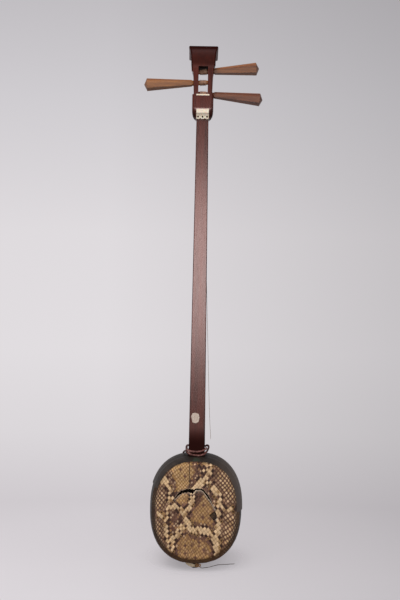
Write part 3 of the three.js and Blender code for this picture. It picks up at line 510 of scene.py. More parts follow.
def above_tear(x, z):
    """How far a flat spot lies above the tear's middle line."""
    line = tear_at(x)
    return z - line[0] if line else 1


# The path from the flat skin round its corner and down the frame's side: inset and depth
WRAP = [(15.3, -38.5), (14.6, -38.36), (14.1, -38.0), (13.85, -37.5), (13.6, -37)]
WRAP += [(side_inset(y) - 1.1, y) for y in [-36 + 1.45 * i for i in range(11)]]
WRAP_STEPS = [math.hypot(b[0] - a[0], b[1] - a[1]) for a, b in zip(WRAP, WRAP[1:])]
WRAP_LENGTH = sum(WRAP_STEPS)
# The lattice of scales: width and length at the spine, their growth and their fan, points
# along a scale's side, the rise of its middle, and how far the lattice goes and is trimmed
SCALE_WIDTH, SCALE_WIDEN = 5.2, 0.034
SCALE_LENGTH, SCALE_LENGTHEN, SCALE_FAN = 6.8, 0.03, 0.002
CELL, PILLOW, LATTICE_REACH, TRIM = 4, 0.3, 40, 7


def flat_spot(a, b):
    """The flat place of a lattice point: the rows fan out from the spine and widen."""
    across, along = (a + b) / 2, (a - b) / 2
    out = SCALE_WIDTH / SCALE_WIDEN * math.expm1(SCALE_WIDEN * abs(across))
    height = along * (SCALE_LENGTH + SCALE_LENGTHEN * out) - SCALE_FAN * out ** 2
    x, z = SPINE_X + math.copysign(out, across), DRUM_MIDDLE + height
    for size, reach, seed in ((0.05, 1.6, 11), (0.17, 0.7, 13)):
        x, z = (x + reach * noise.noise((x * size, z * size, seed)),
                z + reach * noise.noise((x * size, z * size, seed + 6)))
    return x, z


def rim_level(x, z):
    """How far inside the end of the turned edge a flat spot lies."""
    angle = math.atan2(z - DRUM_MIDDLE, x)
    reach = drum_radius(angle, WRAP[0][0]) + WRAP_LENGTH
    return reach - math.hypot(x, z - DRUM_MIDDLE)


def folded(x, z, lift):
    """The place in space of a flat spot, lifted by a height, and how far it is turned down."""
    angle = math.atan2(z - DRUM_MIDDLE, x)
    over = math.hypot(x, z - DRUM_MIDDLE) - drum_radius(angle, WRAP[0][0])
    if over <= 0:
        return Vector((x, -SKIN_Y - lift, z)), over
    left = over
    for (a, b), step in zip(zip(WRAP, WRAP[1:]), WRAP_STEPS):
        if left <= step or b == WRAP[-1]:
            t = min(1, left / step)
            inset, y = a[0] + (b[0] - a[0]) * t, a[1] + (b[1] - a[1]) * t
            out = Vector((a[1] - b[1], b[0] - a[0])).normalized()
            spot = drum_point(angle, inset + out[0] * lift, y + out[1] * lift) / MM
            return spot, over
        left -= step


def split(polygons, spots, level, cuts):
    """Splits polygons where level changes sign. New spots are shared through cuts."""
    values = [level(spot[0], spot[1]) for spot in spots]
    front, behind = [], []
    for corners, cell in polygons:
        signs = [values[i] >= 0 for i in corners]
        if all(signs):
            front.append((corners, cell))
        elif not any(signs):
            behind.append((corners, cell))
        else:
            parts = ([], [])
            for i, j in zip(corners, corners[1:] + corners[:1]):
                parts[not values[i] >= 0].append(i)
                if (values[i] >= 0) != (values[j] >= 0):
                    key = (min(i, j), max(i, j))
                    if key not in cuts:
                        t = values[key[0]] / (values[key[0]] - values[key[1]])
                        pairs = zip(spots[key[0]], spots[key[1]])
                        cuts[key] = len(spots)
                        spots.append(tuple(p + (q - p) * t for p, q in pairs))
                    parts[0].append(cuts[key])
                    parts[1].append(cuts[key])
            front.append((parts[0], cell))
            behind.append((parts[1], cell))
    return front, behind


def scale_lattice(front, seed):
    """The flat skin: its spots, its polygons with their scale, and each scale's look."""
    rng = random.Random(seed)
    spots, ids, polygons, looks = [], {}, [], []

    def spot(i, j):
        if (i, j) not in ids:
            ids[(i, j)] = len(spots)
            local = [abs(2 * (k % CELL) / CELL - 1) for k in (i, j)]
            lift = PILLOW * (1 - local[0] ** 4) * (1 - local[1] ** 4)
            spots.append((*flat_spot(i / CELL, j / CELL), lift, i / CELL, j / CELL))
        return ids[(i, j)]

    for a in range(-LATTICE_REACH, LATTICE_REACH):
        for b in range(-LATTICE_REACH, LATTICE_REACH):
            x, z = flat_spot(a + 0.5, b + 0.5)
            if rim_level(x, z) < -TRIM:
                continue
            cell = (a, b, len(looks))
            if not front:  # the same pattern, half turned
                x, z = -x, 2 * DRUM_MIDDLE - z
            looks.append(scale_look(x, z, rng))
            for i in range(a * CELL, (a + 1) * CELL):
                for j in range(b * CELL, (b + 1) * CELL):
                    polygons.append(([spot(i, j), spot(i + 1, j), spot(i + 1, j + 1),
                                      spot(i, j + 1)], cell))
    return spots, split(polygons, spots, rim_level, {})[0], looks


def torn_open(polygons, spots):
    """Cuts the tear and the hole into the skin. Tells which spots go up with the upper lip or
    down with the lower one, and which belong to the tongue pushed in behind the hole."""
    polygons, tongue = split(polygons, spots, lambda x, z: outline_level(x, z, TEAR_HOLE), {})
    near, others = [], []
    for polygon in polygons:
        crossed = all(tear_at(spots[i][0]) for i in polygon[0])
        (near if crossed else others).append(polygon)
    cuts, lower_lip, inner, ways = {}, {}, {}, {}
    above, below = split(near, spots, above_tear, cuts)
    for i in cuts.values():
        if tear_at(spots[i][0])[1] > 0.02:
            lower_lip[i] = len(spots)
            spots.append(spots[i])
    below = [([lower_lip.get(i, i) for i in corners], cell) for corners, cell in below]
    for group, way in ((above, 1), (below, -1)):
        for corners, _ in group:
            ways.update((i, way) for i in corners)
    whole = []
    for corners, cell in others:
        loop = []
        for i, j in zip(corners, corners[1:] + corners[:1]):
            loop.append(i)
            if (min(i, j), max(i, j)) in cuts:
                loop.append(cuts[(min(i, j), max(i, j))])
        whole.append((loop, cell))
    for corners, _ in tongue:
        for i in corners:
            if i not in inner:
                inner[i] = len(spots)
                spots.append(spots[i])
    tongue = [([inner[i] for i in corners], cell) for corners, cell in tongue]
    return above + below + whole + tongue, ways, set(inner.values())


# The lower lip stands out at the flap and sinks in on the left: place, width and depth
FLAP_X, FLAP_WIDTH, FLAP_OUT = 16, 13, 1.8
SUNK_X, SUNK_WIDTH, SUNK_IN = -20, 12, 2.8


def skin_spot(x, z, lift, front, way, pushed):
    """A spot's place on the drum, how far the dark dye and the painted shade cover it, and how raw
    it is from the tear.
    """
    sag, raw = 0, 0
    if front:
        raw = math.exp(-abs(outline_level(x, z, TEAR_HOLE)) / 1.1) * (x + z < 136)
    if way and tear_at(x):  # the lips part, the upper one lifts a little
        height, opening = tear_at(x)
        far = abs(z - height)
        z += way * opening * math.exp(-far / 6)
        if way < 0:
            raw = math.exp(-far / 2) * (1 if x > -5 else 0.5)
            flap = FLAP_OUT * math.exp(-((x - FLAP_X) / FLAP_WIDTH) ** 2)
            sunk = SUNK_IN * math.exp(-((x - SUNK_X) / SUNK_WIDTH) ** 2)
            sag = (sunk - flap) * math.exp(-far / 7)
        else:
            raw = 0.5 * math.exp(-far / 0.8)
            sag = -0.7 * math.exp(-far / 5)
        sag *= min(1, opening)
    # Painted shade: the tongue pushed in behind the hole is darkened all over
    if pushed:  # the tongue leans inwards
        sag, raw = 2.5 + 0.25 * max(0, x - 24), 0.03
    place, over = folded(x, z, lift)
    place.y += sag
    # The dark edge reaches further in at the bottom, as painted shade, and further still at the
    # lower right in front
    low = rise(z, 62, 32)
    if front:
        low *= 1 + 0.8 * rise(x, 34, 48)
    else:
        place.y *= -1
    return place * MM, 1 if pushed else rise(over + 8 * low, 4, 10), raw


def skin_sheet(name, front, seed, materials):
    """One skin: its scales cut to its outline, torn in front, and turned over the rim."""
    spots, polygons, looks = scale_lattice(front, seed)
    ways, pushed = {}, set()
    if front:
        polygons, ways, pushed = torn_open(polygons, spots)
    points, dye_and_shade, raws = zip(*[skin_spot(x, z, lift, front, ways.get(i), i in pushed)
                               for i, (x, z, lift, _, _) in enumerate(spots)])
    mesh = bpy.data.meshes.new(name)
    mesh.from_pydata(points, [], [corners[::-1] if front else corners for corners, _ in polygons])
    look = mesh.color_attributes.new("scale_look", "FLOAT_COLOR", "CORNER")
    form = mesh.color_attributes.new("scale_form", "FLOAT_COLOR", "CORNER")
    for polygon, (_, (a, b, cell)) in zip(mesh.polygons, polygons):
        for loop in polygon.loop_indices:
            i = mesh.loops[loop].vertex_index
            look.data[loop].color = looks[cell]
            form.data[loop].color = (spots[i][3] - a, spots[i][4] - b, dye_and_shade[i], raws[i])
    for material in materials:
        mesh.materials.append(material)
    piece = linked(name, mesh, materials[0])
    loose = bmesh.new()
    loose.from_mesh(mesh)
    bmesh.ops.delete(loose, geom=[v for v in loose.verts if not v.link_faces], context="VERTS")
    loose.to_mesh(mesh)
    loose.free()
    mesh.shade_smooth()
    wall = piece.modifiers.new("thickness", "SOLIDIFY")
    wall.thickness = SKIN_THICKNESS * MM
    wall.offset = -1
    wall.material_offset = 1
    wall.material_offset_rim = 2
    return applied(piece)


def python_skin():
    """Dried snake skin: gold saddles, pale net, brown between, satin and a little dirty."""
    material, tree, shader, place = new_material("dried_python_skin")
    look, form = [add_node(tree, "Attribute", attribute_name=name).outputs
                  for name in ("scale_look", "scale_form")]
    tone, middle, strength = add_node(tree, "SeparateColor", {"Color": look["Color"]}).outputs
    dye_and_shade = add_node(tree, "SeparateColor", {"Color": form["Color"]}).outputs["Blue"]
    ground, centre = [add_node(tree, "ValToRGB", {"Fac": value}, stops=TONE_COLOURS)
                      for value in (tone, middle)]
    grain = add_node(tree, "TexNoise", {
        "Vector": place, "Scale": 1 / (0.6 * MM), "Detail": 4, "Roughness": 0.7})
    soil = add_node(tree, "TexNoise", {
        "Vector": place, "Scale": 1 / (9 * MM), "Detail": 5, "Roughness": 0.6})
    # From 0 in the middle of a scale to 1 at its sides, and to 1.4 at its corners
    centred = add_node(tree, "VectorMath", {
        0: form["Color"], 1: (2, 2, 0), 2: (-1, -1, 0)}, operation="MULTIPLY_ADD")
    aside = add_node(tree, "VectorMath", {0: centred}, operation="ABSOLUTE")
    reach = add_node(tree, "VectorMath", {0: aside}, operation="LENGTH")
    u, v, _ = add_node(tree, "SeparateXYZ", {"Vector": aside}).outputs
    wider, product = [add_node(tree, "Math", {0: u, 1: v}, operation=kind)
                      for kind in ("MAXIMUM", "MULTIPLY")]
    # In millimetres, and the distance from the crease down the skin's middle
    where = add_node(tree, "VectorMath", {0: place, "Scale": 1 / MM}, operation="SCALE")
    x, y, z = add_node(tree, "SeparateXYZ", {"Vector": where}).outputs
    sway = add_node(tree, "Math", {0: x, 1: 12.2}, operation="ADD")
    sway = add_node(tree, "Math", {0: sway}, operation="ABSOLUTE")
    # What each part reads, two levels of that, and what is made of them, soft in between
    part = {name: add_node(tree, "MapRange", {
        "Value": value, "From Min": start, "From Max": full, "To Min": first, "To Max": last},
        interpolation_type="SMOOTHSTEP") for name, value, start, full, first, last in (
            ("ragged", grain, 0.2, 0.8, -0.15, 0.15), ("joint", wider, 0.74, 1, 0, 1),
            ("corner", product, 0.4, 0.85, 0, 0.6), ("each", look["Alpha"], 0, 1, 0.84, 1.12),
            ("worn", soil, 0.3, 0.7, 0.88, 1.07), ("fine", grain, 0.3, 0.7, 0.93, 1.05),
            ("low", z, 70, 20, 0, 1), ("right", x, 20, 84, 1, 1.7),
            ("crease_shade", sway, 0.5, 1.1, 0.85, 0), ("above", z, 143, 147, 0, 1),
            ("below", z, 66, 60, 0, 0.4), ("rough", grain, 0, 1, 0.42, 0.62),
            ("gloss", dye_and_shade, 0, 1, 0.5, 0.15))}
    # The middle of each scale in its own tone, with a ragged edge, and dark joints
    reach = add_node(tree, "Math", {0: reach, 1: part["ragged"]}, operation="ADD")
    spot = add_node(tree, "MapRange", {
        "Value": reach, "From Min": 0.95, "From Max": 0.35}, interpolation_type="SMOOTHSTEP")
    spot = add_node(tree, "Math", {0: spot, 1: strength}, operation="MULTIPLY")
    scale = add_node(tree, "Mix", {"Factor": spot, "A": ground, "B": centre}, data_type="RGBA")
    dark = add_node(tree, "Math", {0: part["joint"], 1: 0.42}, operation="MULTIPLY")
    dark = add_node(tree, "Math", {0: dark, 1: part["corner"]}, operation="MAXIMUM")
    shaded = add_node(tree, "Mix", {"Factor": dark, "A": scale, "B": linear("4a2c1a")},
                      data_type="RGBA")
    for name in ("each", "worn", "fine"):
        shaded = add_node(tree, "VectorMath", {0: shaded, "Scale": part[name]}, operation="SCALE")
    # Black dye on the turned edge, and painted shade low down and on the tongue; browner at the
    # bottom, and lighter on the right as painted light
    dim = add_node(tree, "VectorMath", {0: shaded, "Scale": 0.34}, operation="SCALE")
    dye = add_node(tree, "Mix", {
        "Factor": part["low"], "A": linear("463a32"), "B": linear("6b4726")}, data_type="RGBA")
    dye = add_node(tree, "Mix", {"Factor": 0.5, "A": dim, "B": dye}, data_type="RGBA")
    dye = add_node(tree, "VectorMath", {0: dye, "Scale": part["right"]}, operation="SCALE")
    colour = add_node(tree, "Mix", {"Factor": dye_and_shade, "A": shaded, "B": dye}, data_type="RGBA")
    # Raw lips of the tear, and painted shade along the crease, in front only
    lips = add_node(tree, "Math", {0: form["Alpha"], 1: 0.9}, operation="MULTIPLY")
    runs = add_node(tree, "Math", {0: part["above"], 1: part["below"]}, operation="MAXIMUM")
    ahead = add_node(tree, "Math", {0: y, 1: 0.0}, operation="LESS_THAN")
    crease_shade = add_node(tree, "Math", {0: part["crease_shade"], 1: runs}, operation="MULTIPLY")
    crease_shade = add_node(tree, "Math", {0: crease_shade, 1: ahead}, operation="MULTIPLY")
    for share, tint in ((lips, "d2c2b0"), (crease_shade, "3f2916")):
        colour = add_node(tree, "Mix", {
            "Factor": share, "A": colour, "B": linear(tint)}, data_type="RGBA")
    height = add_node(tree, "Math", {0: part["joint"], 1: -0.6, 2: grain},
                      operation="MULTIPLY_ADD")
    bump = add_node(tree, "Bump", {"Height": height, "Strength": 0.4, "Distance": 0.15 * MM})
    rough = add_node(tree, "Math", {0: dye_and_shade, 1: 0.2, 2: part["rough"]},
                     operation="MULTIPLY_ADD")
    wire(shader, {"Base Color": colour, "Roughness": rough,
                  "Specular IOR Level": part["gloss"], "Normal": bump})
    return material


def raw_hide(name, dark, light):
    """Raw hide or paper: pale, fibrous and matt."""
    material, tree, shader, place = new_material(name)
    fibres = add_node(tree, "TexNoise", {
        "Vector": place, "Scale": 1 / (1.5 * MM), "Detail": 5, "Roughness": 0.7})
    colour = add_node(tree, "ValToRGB", {"Fac": fibres}, stops=[(0.35, dark), (0.65, light)])
    bump = add_node(tree, "Bump", {"Height": fibres, "Strength": 0.5, "Distance": 0.2 * MM})
    wire(shader, {"Base Color": colour, "Normal": bump, "Roughness": 0.75})
    return material


# Scales outside, the dark raw side inside, and pale hide where the skin is torn
skin_finishes = [python_skin(), raw_hide("skin_raw_side", "2c2018", "5c4938"),
                 raw_hide("torn_skin_edge", "a08a70", "d3c0a6")]
for name, front, seed in (("front", True, 7), ("back", False, 8)):
    piece = skin_sheet(name + "_python_skin", front, seed, skin_finishes)
    placed(piece, name + "_skin")

# Side band: a thin strip of dark leather glued round the drum's upper side, over the
# turned edges of both skins. Its ends show as a small step on the left and right.
BAND_HALF, BAND_THICKNESS = FRAME_HALF - 5, 1.2

# Dark leather: matt, with a green stain at the neck's foot, painted shade that darkens it towards
# the top, and painted light that lightens it on the right.
band_leather = dark_stained("dark_band_leather", "1c1613", "463a32")
tree, shader = band_leather.node_tree, band_leather.node_tree.nodes["Principled BSDF"]
place = add_node(tree, "TexCoord").outputs["Object"]
x, y, z = add_node(tree, "SeparateXYZ", {"Vector": place}).outputs
off = add_node(tree, "VectorMath", {0: place, 1: (-0.0015, -0.031, 0.1985)}, operation="DISTANCE")
ragged = add_node(tree, "TexNoise", {"Vector": place, "Scale": 1 / (5 * MM), "Detail": 3})
reach = add_node(tree, "Math", {0: ragged, 1: 12 * MM, 2: off}, operation="MULTIPLY_ADD")
# A green stain at the neck's foot, painted shade at the top and painted light on the right
green, painted_top_shade, painted_right_light = [add_node(tree, "MapRange", {
    "Value": value, "From Min": start * MM, "From Max": full * MM, "To Min": first,
    "To Max": last}) for value, start, full, first, last in (
        (reach, 13.5, 10.5, 0, 0.75), (z, 180, 203, 1, 0.6), (x, 30, 80, 0, 0.24))]
stained = add_node(tree, "Mix", {
    "Factor": green, "A": shader.inputs["Base Color"].links[0].from_socket,
    "B": linear("3f4a3c")}, data_type="RGBA")
dark = add_node(tree, "VectorMath", {0: stained, "Scale": painted_top_shade}, operation="SCALE")
painted_light_colour = add_node(tree, "Mix", {"Factor": painted_right_light, "A": dark, "B": linear("957f72")}, data_type="RGBA")
wire(shader, {"Base Color": painted_light_colour})


def band_lie(y):
    """How far the band lies above the frame: over the skins outside, on the wood between."""
    return 1.4 - 1.1 * rise(abs(y), 21.5, 18.95)


rows = [-BAND_HALF + 2 * BAND_HALF * i / 36 for i in range(37)]
band_profile = [(side_inset(y) - band_lie(y) - BAND_THICKNESS, y) for y in rows]
band_profile += [(side_inset(y) - band_lie(y), y) for y in reversed(rows)]
side_band = arc_piece("side_band_strip", band_profile, 0, 150, 90, band_leather)
cut_by(side_band, lofted("opening", [neck_ring(190, 0.4), neck_ring(215, 0.4)], band_leather))
placed(side_band, "side_band")

# Neck: one length of dark rosewood with its spike and turned foot, planed flat in front,
# rounded behind and rubbed to a satin. Its front takes a broad soft shine.
STREAK_LENGTH = 22  # in widths of a streak


def rubbed_wood(name, dark, light, grain, streak_mm, roughness):
    """Rubbed hardwood: long streaks and fine pores along the grain, given as x, y or z."""
    material, tree, shader, place = new_material(name)
    stretch = [1 if axis == grain else STREAK_LENGTH for axis in "xyz"]
    long = add_node(tree, "Mapping", {"Vector": place, "Scale": stretch})
    streaks = add_node(tree, "TexNoise", {
        "Vector": long, "Scale": 1 / (STREAK_LENGTH * streak_mm * MM), "Detail": 6,
        "Roughness": 0.62})
    bands, pores = [add_node(tree, "TexNoise", {
        "Vector": long, "Scale": 1 / (width * streak_mm * MM), "Detail": 2})
        for width in (150, 5)]
    both = add_node(tree, "Mix", {"Factor": 0.5, "A": streaks, "B": bands})
    colour = add_node(tree, "ValToRGB", {"Fac": both}, stops=[(0.36, dark), (0.62, light)])
    open_pores = add_node(tree, "MapRange", {
        "Value": pores, "From Min": 0.6, "From Max": 0.7, "To Min": 1, "To Max": 0.6})
    pored = add_node(tree, "VectorMath", {0: colour, "Scale": open_pores}, operation="SCALE")
    rough = add_node(tree, "MapRange", {
        "Value": streaks, "To Min": roughness - 0.06, "To Max": roughness + 0.12})
    bump = add_node(tree, "Bump", {"Height": open_pores, "Strength": 0.2, "Distance": 0.1 * MM})
    wire(shader, {"Base Color": pored, "Roughness": rough, "Normal": bump})
    return material


def dull_and_shaded_places(material):
    """Where rosewood is darker and duller: towards the tie; and, as painted shade, on the heel's
    sides, in the slot, on the shovel's front and sides, and darkest along the shovel front's
    borders and its top edge."""
    tree, shader = material.node_tree, material.node_tree.nodes["Principled BSDF"]
    coordinates = add_node(tree, "TexCoord").outputs
    where = add_node(tree, "VectorMath", {0: coordinates["Object"], "Scale": 1 / MM},
                     operation="SCALE")
    x, y, z = add_node(tree, "SeparateXYZ", {"Vector": where}).outputs
    facing = add_node(tree, "SeparateXYZ", {"Vector": coordinates["Normal"]})
    aside, sideways = [add_node(tree, "Math", {0: value}, operation="ABSOLUTE")
                       for value in (x, facing)]
    # The shovel's outline widens with the square of the height
    flare = add_node(tree, "MapRange", {"Value": z, "From Min": 900, "From Max": 947})
    flare = add_node(tree, "Math", {0: flare, 1: flare}, operation="MULTIPLY")
    edge = add_node(tree, "Math", {0: flare, 1: -5.2, 2: aside}, operation="MULTIPLY_ADD")
    # Darker and duller towards the tie
    dull_and_shade = add_node(tree, "MapRange", {
        "Value": z, "From Min": 266, "From Max": 224}, interpolation_type="SMOOTHSTEP")
    # How dark and dull each place is at most, and the limits that it fades in or starts at
    for most, *limits in (
            # Painted shade on the slot's walls
            (1, (aside, 8.7, 8.69), (y, -25.4, -25.39), (z, 835, 835.01), (z, 897.5, 897.49)),
            # Painted shade on the shovel's front, first partly and then wholly, and on its sides
            (0.66, (sideways, 0.8, 0.5), (z, 893, 903)),
            (1, (sideways, 0.8, 0.5), (z, 914, 936)),
            (0.6, (sideways, 0.5, 0.8), (z, 893, 900)),
            # Painted shade on the heel's sides
            (0.9, (aside, 11.6, 13), (z, 823, 811), (z, 790, 790.01)),
            # Painted shade along the borders on the shovel's front, and on its top edge
            (1, (edge, 18.4, 19.4), (sideways, 0.8, 0.799), (z, 886, 886.01)),
            (1, (z, 947.4, 948.2), (sideways, 0.8, 0.799))):
        mask = most
        for value, start, full in limits:
            part = add_node(tree, "MapRange", {
                "Value": value, "From Min": start, "From Max": full})
            mask = add_node(tree, "Math", {0: mask, 1: part}, operation="MULTIPLY")
        dull_and_shade = add_node(tree, "Math", {0: dull_and_shade, 1: mask}, operation="MAXIMUM")
    # Dull wood keeps a trace of shine, but none on the upper half of the shovel
    matt = add_node(tree, "MapRange", {
        "Value": z, "From Min": 905, "From Max": 930, "To Min": 0.1, "To Max": 0.0})
    colour, rough = [shader.inputs[label].links[0].from_socket
                     for label in ("Base Color", "Roughness")]
    wire(shader, {
        "Base Color": add_node(tree, "Mix", {
            "Factor": dull_and_shade, "A": colour, "B": linear("2b110e")}, data_type="RGBA"),
        "Roughness": add_node(tree, "Mix", {"Factor": dull_and_shade, "A": rough, "B": 0.8}),
        "Specular IOR Level": add_node(tree, "Mix", {"Factor": dull_and_shade, "A": 1.0, "B": matt}),
        "Specular Tint": linear("ffddd8")})


def eased_copy(name, node, material, easing, reshape=None):
    """A copy of a CAD node with its sharp edges eased by some millimetres."""
    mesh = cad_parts[node].data.copy()
    mesh.materials.clear()
    form = bmesh.new()
    form.from_mesh(mesh)
    bmesh.ops.remove_doubles(form, verts=form.verts, dist=0.005 * MM)
    bmesh.ops.dissolve_limit(form, angle_limit=math.radians(2), verts=form.verts, edges=form.edges)
    bmesh.ops.recalc_face_normals(form, faces=form.faces)
    if reshape:
        reshape(form)
    sharp = [e for e in form.edges if len(e.link_faces) == 2
             and e.calc_face_angle(0) > math.radians(30)]
    bmesh.ops.bevel(form, geom=sharp, offset=easing * MM, segments=2, profile=0.6,
                    affect="EDGES", clamp_overlap=True)
    form.to_mesh(mesh)
    form.free()
    piece = linked(name, mesh, material)
    mesh.shade_smooth()
    mesh.set_sharp_from_angle(angle=math.radians(50))
    even = piece.modifiers.new("even_faces", "WEIGHTED_NORMAL")
    even.keep_sharp = True
    even.weight = 100
    return applied(piece)


rosewood = rubbed_wood("rubbed_rosewood", "32100a", "602316", "z", 1.1, 0.24)
dull_and_shaded_places(rosewood)
placed(eased_copy("rosewood_neck", "neck", rosewood, 0.3), "neck")

# Head: block, slotted pegbox and backward shovel, cut from one piece of the same
# rosewood and tenoned onto the neck. Its edges are eased by years of handling.

# The step of the shovel: its side, where it starts and where it has its full width
SHOVEL_STEPS, STEP_WIDTH = ((-1, 886.4, 887.8), (1, 897.2, 898.4)), 2.8
# The shovel's front, as it bends backwards: y and height
SHOVEL_FRONT = [(-26 + 64 * t * t, 898 + 63.7 * t - 12.3 * t * t)
                for t in [i / 60 for i in range(61)]]


def stepped_shovel(form):
    """Sets the shovel's front off from the pegbox by a small step on both sides."""
    for height in [height for _, *heights in SHOVEL_STEPS for height in heights]:
        bmesh.ops.bisect_plane(form, geom=[*form.verts, *form.edges, *form.faces],
                               plane_co=(0, 0, height * MM), plane_no=(0, 0, 1))
    for vert in form.verts:
        x, y, z = vert.co / MM
        for side, start, full in SHOVEL_STEPS:
            if x * side < 16 or z < start:
                continue
            if z < 898.5:
                ahead = rise(y, 6, -26)
            else:
                ahead = min(math.hypot(y - cy, z - cz) for cy, cz in SHOVEL_FRONT) < 1.6
            grown = rise(z, start, full) - rise(z, 944, 951)
            vert.co.x += side * STEP_WIDTH * MM * grown * ahead


placed(eased_copy("rosewood_head", "head", rosewood, 0.3, stepped_shovel), "head")

# Bones: a strip across the slot's foot and the nut plate with its three string holes,
# both of polished cattle bone that has yellowed, glued into seats in the block.
STRING_SPACING, STRING_HOLE_Z, STRING_HOLE_RADIUS = 8, 807.3, 1.55
LOBE_Z, LOBE_RADIUS = 803.4, 6


def polished_bone():
    """Yellowed bone: glossy, a little translucent, with lines along it, and painted shade in its
    string holes.
    """
    material, tree, shader, place = new_material("yellowed_bone")
    long = add_node(tree, "Mapping", {"Vector": place, "Scale": (8, 8, 1)})
    lines = add_node(tree, "TexNoise", {"Vector": long, "Scale": 1 / (5 * MM), "Detail": 4})
    colour = add_node(tree, "ValToRGB", {"Fac": lines}, stops=[(0.36, "efd2b0"), (0.6, "fff2e2")])
    x, y, z = add_node(tree, "SeparateXYZ", {"Vector": place}).outputs
    aside = add_node(tree, "Math", {0: x, 1: STRING_SPACING / 2 * MM}, operation="PINGPONG")
    above = add_node(tree, "Math", {0: z, 1: STRING_HOLE_Z * MM}, operation="SUBTRACT")
    off = add_node(tree, "CombineXYZ", {"X": aside, "Z": above})
    far = add_node(tree, "VectorMath", {0: off}, operation="LENGTH")
    # Painted shade in the three string holes
    hole = add_node(tree, "Math", {0: far, 1: STRING_HOLE_RADIUS * MM}, operation="LESS_THAN")
    dark = add_node(tree, "Mix", {
        "Factor": hole, "A": colour, "B": linear("33231a")}, data_type="RGBA")
    wire(shader, {"Base Color": dark, "Roughness": 0.38, "Subsurface Weight": 0.15,
                  "Subsurface Radius": (0.002, 0.0012, 0.0007), "Subsurface Scale": 1})
    return material


bone = polished_bone()
placed(eased_copy("bone_slot_strip", "bone_strip", bone, 0.35), "bone_strip")
nut = eased_copy("bone_nut", "nut_plate", bone, 0.35)
lobes = [(12, 800), (-12, 800)]
for x in [i / 4 for i in range(-48, 49)]:
    off = x - STRING_SPACING * round(x / STRING_SPACING)
    lobes.append((x, LOBE_Z + LOBE_RADIUS - math.sqrt(LOBE_RADIUS ** 2 - off ** 2)))
below = [[Vector((x, y, z)) * MM for x, z in lobes] for y in (-30, -15)]
placed(cut_by(nut, lofted("lobes", below, bone)), "nut_plate")

# Pegs: lighter hardwood, six flat sides that taper to a round shank, and a low pyramid
# on the end. They are held in their tapered holes by friction alone, and differ in tone.

# Each one's side, height, tilt in degrees, dark tone and light tone
PEGS = {"upper": (1, 889.8, 4.3, "603420", "9d643c"),
        "middle": (-1, 870.6, -2.9, "6a3b20", "aa6e3d"),
        "lower": (1, 850.4, -4.8, "522819", "905537")}
for name, (side, height, tilt, dark, light) in PEGS.items():
    # Oiled hardwood: brown, straight grained, with a low shine
    oiled = rubbed_wood("oiled_peg_wood_" + name, dark, light, "x", 0.9, 0.42)
    placed(eased_copy("peg_" + name + "_wood", "peg_" + name, oiled, 0.3), "peg_" + name,
           name + "_peg")

# Strings on the pegs: the wound ends that stayed when the strings broke, eight close
# turns of waxed silk that turn with their peg. They lie on the tapered shank.
WINDINGS, WINDING_PITCH, WINDING_STEPS, PEG_AXIS_Y = 8, 1.45, 36, -0.01
# The peg's shank: its diameters, and how far from the winding's middle it has them
SHANK_THIN, SHANK_THICK, SHANK_START, SHANK_END, WINDING_LIFT = 6.6, 9.4, -14.4, 18.45, 0.75

# Waxed silk: warm, pale and dull, with grime between the turns
waxed_silk = fibre("waxed_silk_windings", "916450", "e3b89c", 0.6, 0.35)
for name, (side, height, tilt, dark, light) in PEGS.items():
    axis = Vector((side * math.cos(math.radians(tilt)), 0, math.sin(math.radians(tilt))))
    turn = Vector((0, 0, 1)).rotation_difference(axis).to_matrix().to_4x4()
    place = Matrix.Translation((0, PEG_AXIS_Y, height * MM)) @ turn
    points = []
    for i in range(WINDINGS * WINDING_STEPS + 1):
        turns = i / WINDING_STEPS
        along = WINDING_PITCH * (turns - WINDINGS / 2)
        share = (along - SHANK_START) / (SHANK_END - SHANK_START)
        radius = (SHANK_THIN + (SHANK_THICK - SHANK_THIN) * share) / 2 + WINDING_LIFT
        radius += 0.12 * noise.noise((turns * 2.3, height, 1))
        angle = 2 * math.pi * turns
        spot = Vector((radius * math.cos(angle), radius * math.sin(angle), along))
        points.append(place @ (spot * MM))
    piece = strand("string_wound_on_" + name, points, 1.15, waxed_silk, flatness=0.85, lay=4,
                   sides=8, spacing=0.0006)
    placed(piece, "string_on_peg_" + name, name + "_peg")

# Neck tie: a brown leather cord laid loosely round the foot of the neck. It rests on the
# drum, droops in front, and leaves a small bight on the right and an end on the left.


def tie_leather():
    """Worn cord leather: patchy red brown, a low shine, and painted shade that darkens it at both
    sides of the neck, where it turns round.
    """
    material, tree, shader, place = new_material("worn_cord_leather")
    patches = add_node(tree, "TexNoise", {
        "Vector": place, "Scale": 1 / (5 * MM), "Detail": 5, "Roughness": 0.6})
    colour = add_node(tree, "ValToRGB", {"Fac": patches},
                      stops=[(0.35, "482a27"), (0.56, "7c4d46"), (0.72, "b48e87")])
    bump = add_node(tree, "Bump", {"Height": patches, "Strength": 0.4, "Distance": 0.3 * MM})
    x = add_node(tree, "SeparateXYZ", {"Vector": place})
    aside = add_node(tree, "Math", {0: x}, operation="ABSOLUTE")
    # Painted shade where the cord turns round the sides of the neck
    painted_side_shade = add_node(tree, "MapRange", {
        "Value": aside, "From Min": 15.5 * MM, "From Max": 19 * MM, "To Max": 0.75})
    dark = add_node(tree, "Mix", {
        "Factor": painted_side_shade, "A": colour, "B": linear("2b1a18")}, data_type="RGBA")
    wire(shader, {"Base Color": dark, "Normal": bump, "Roughness": 0.42})
    return material


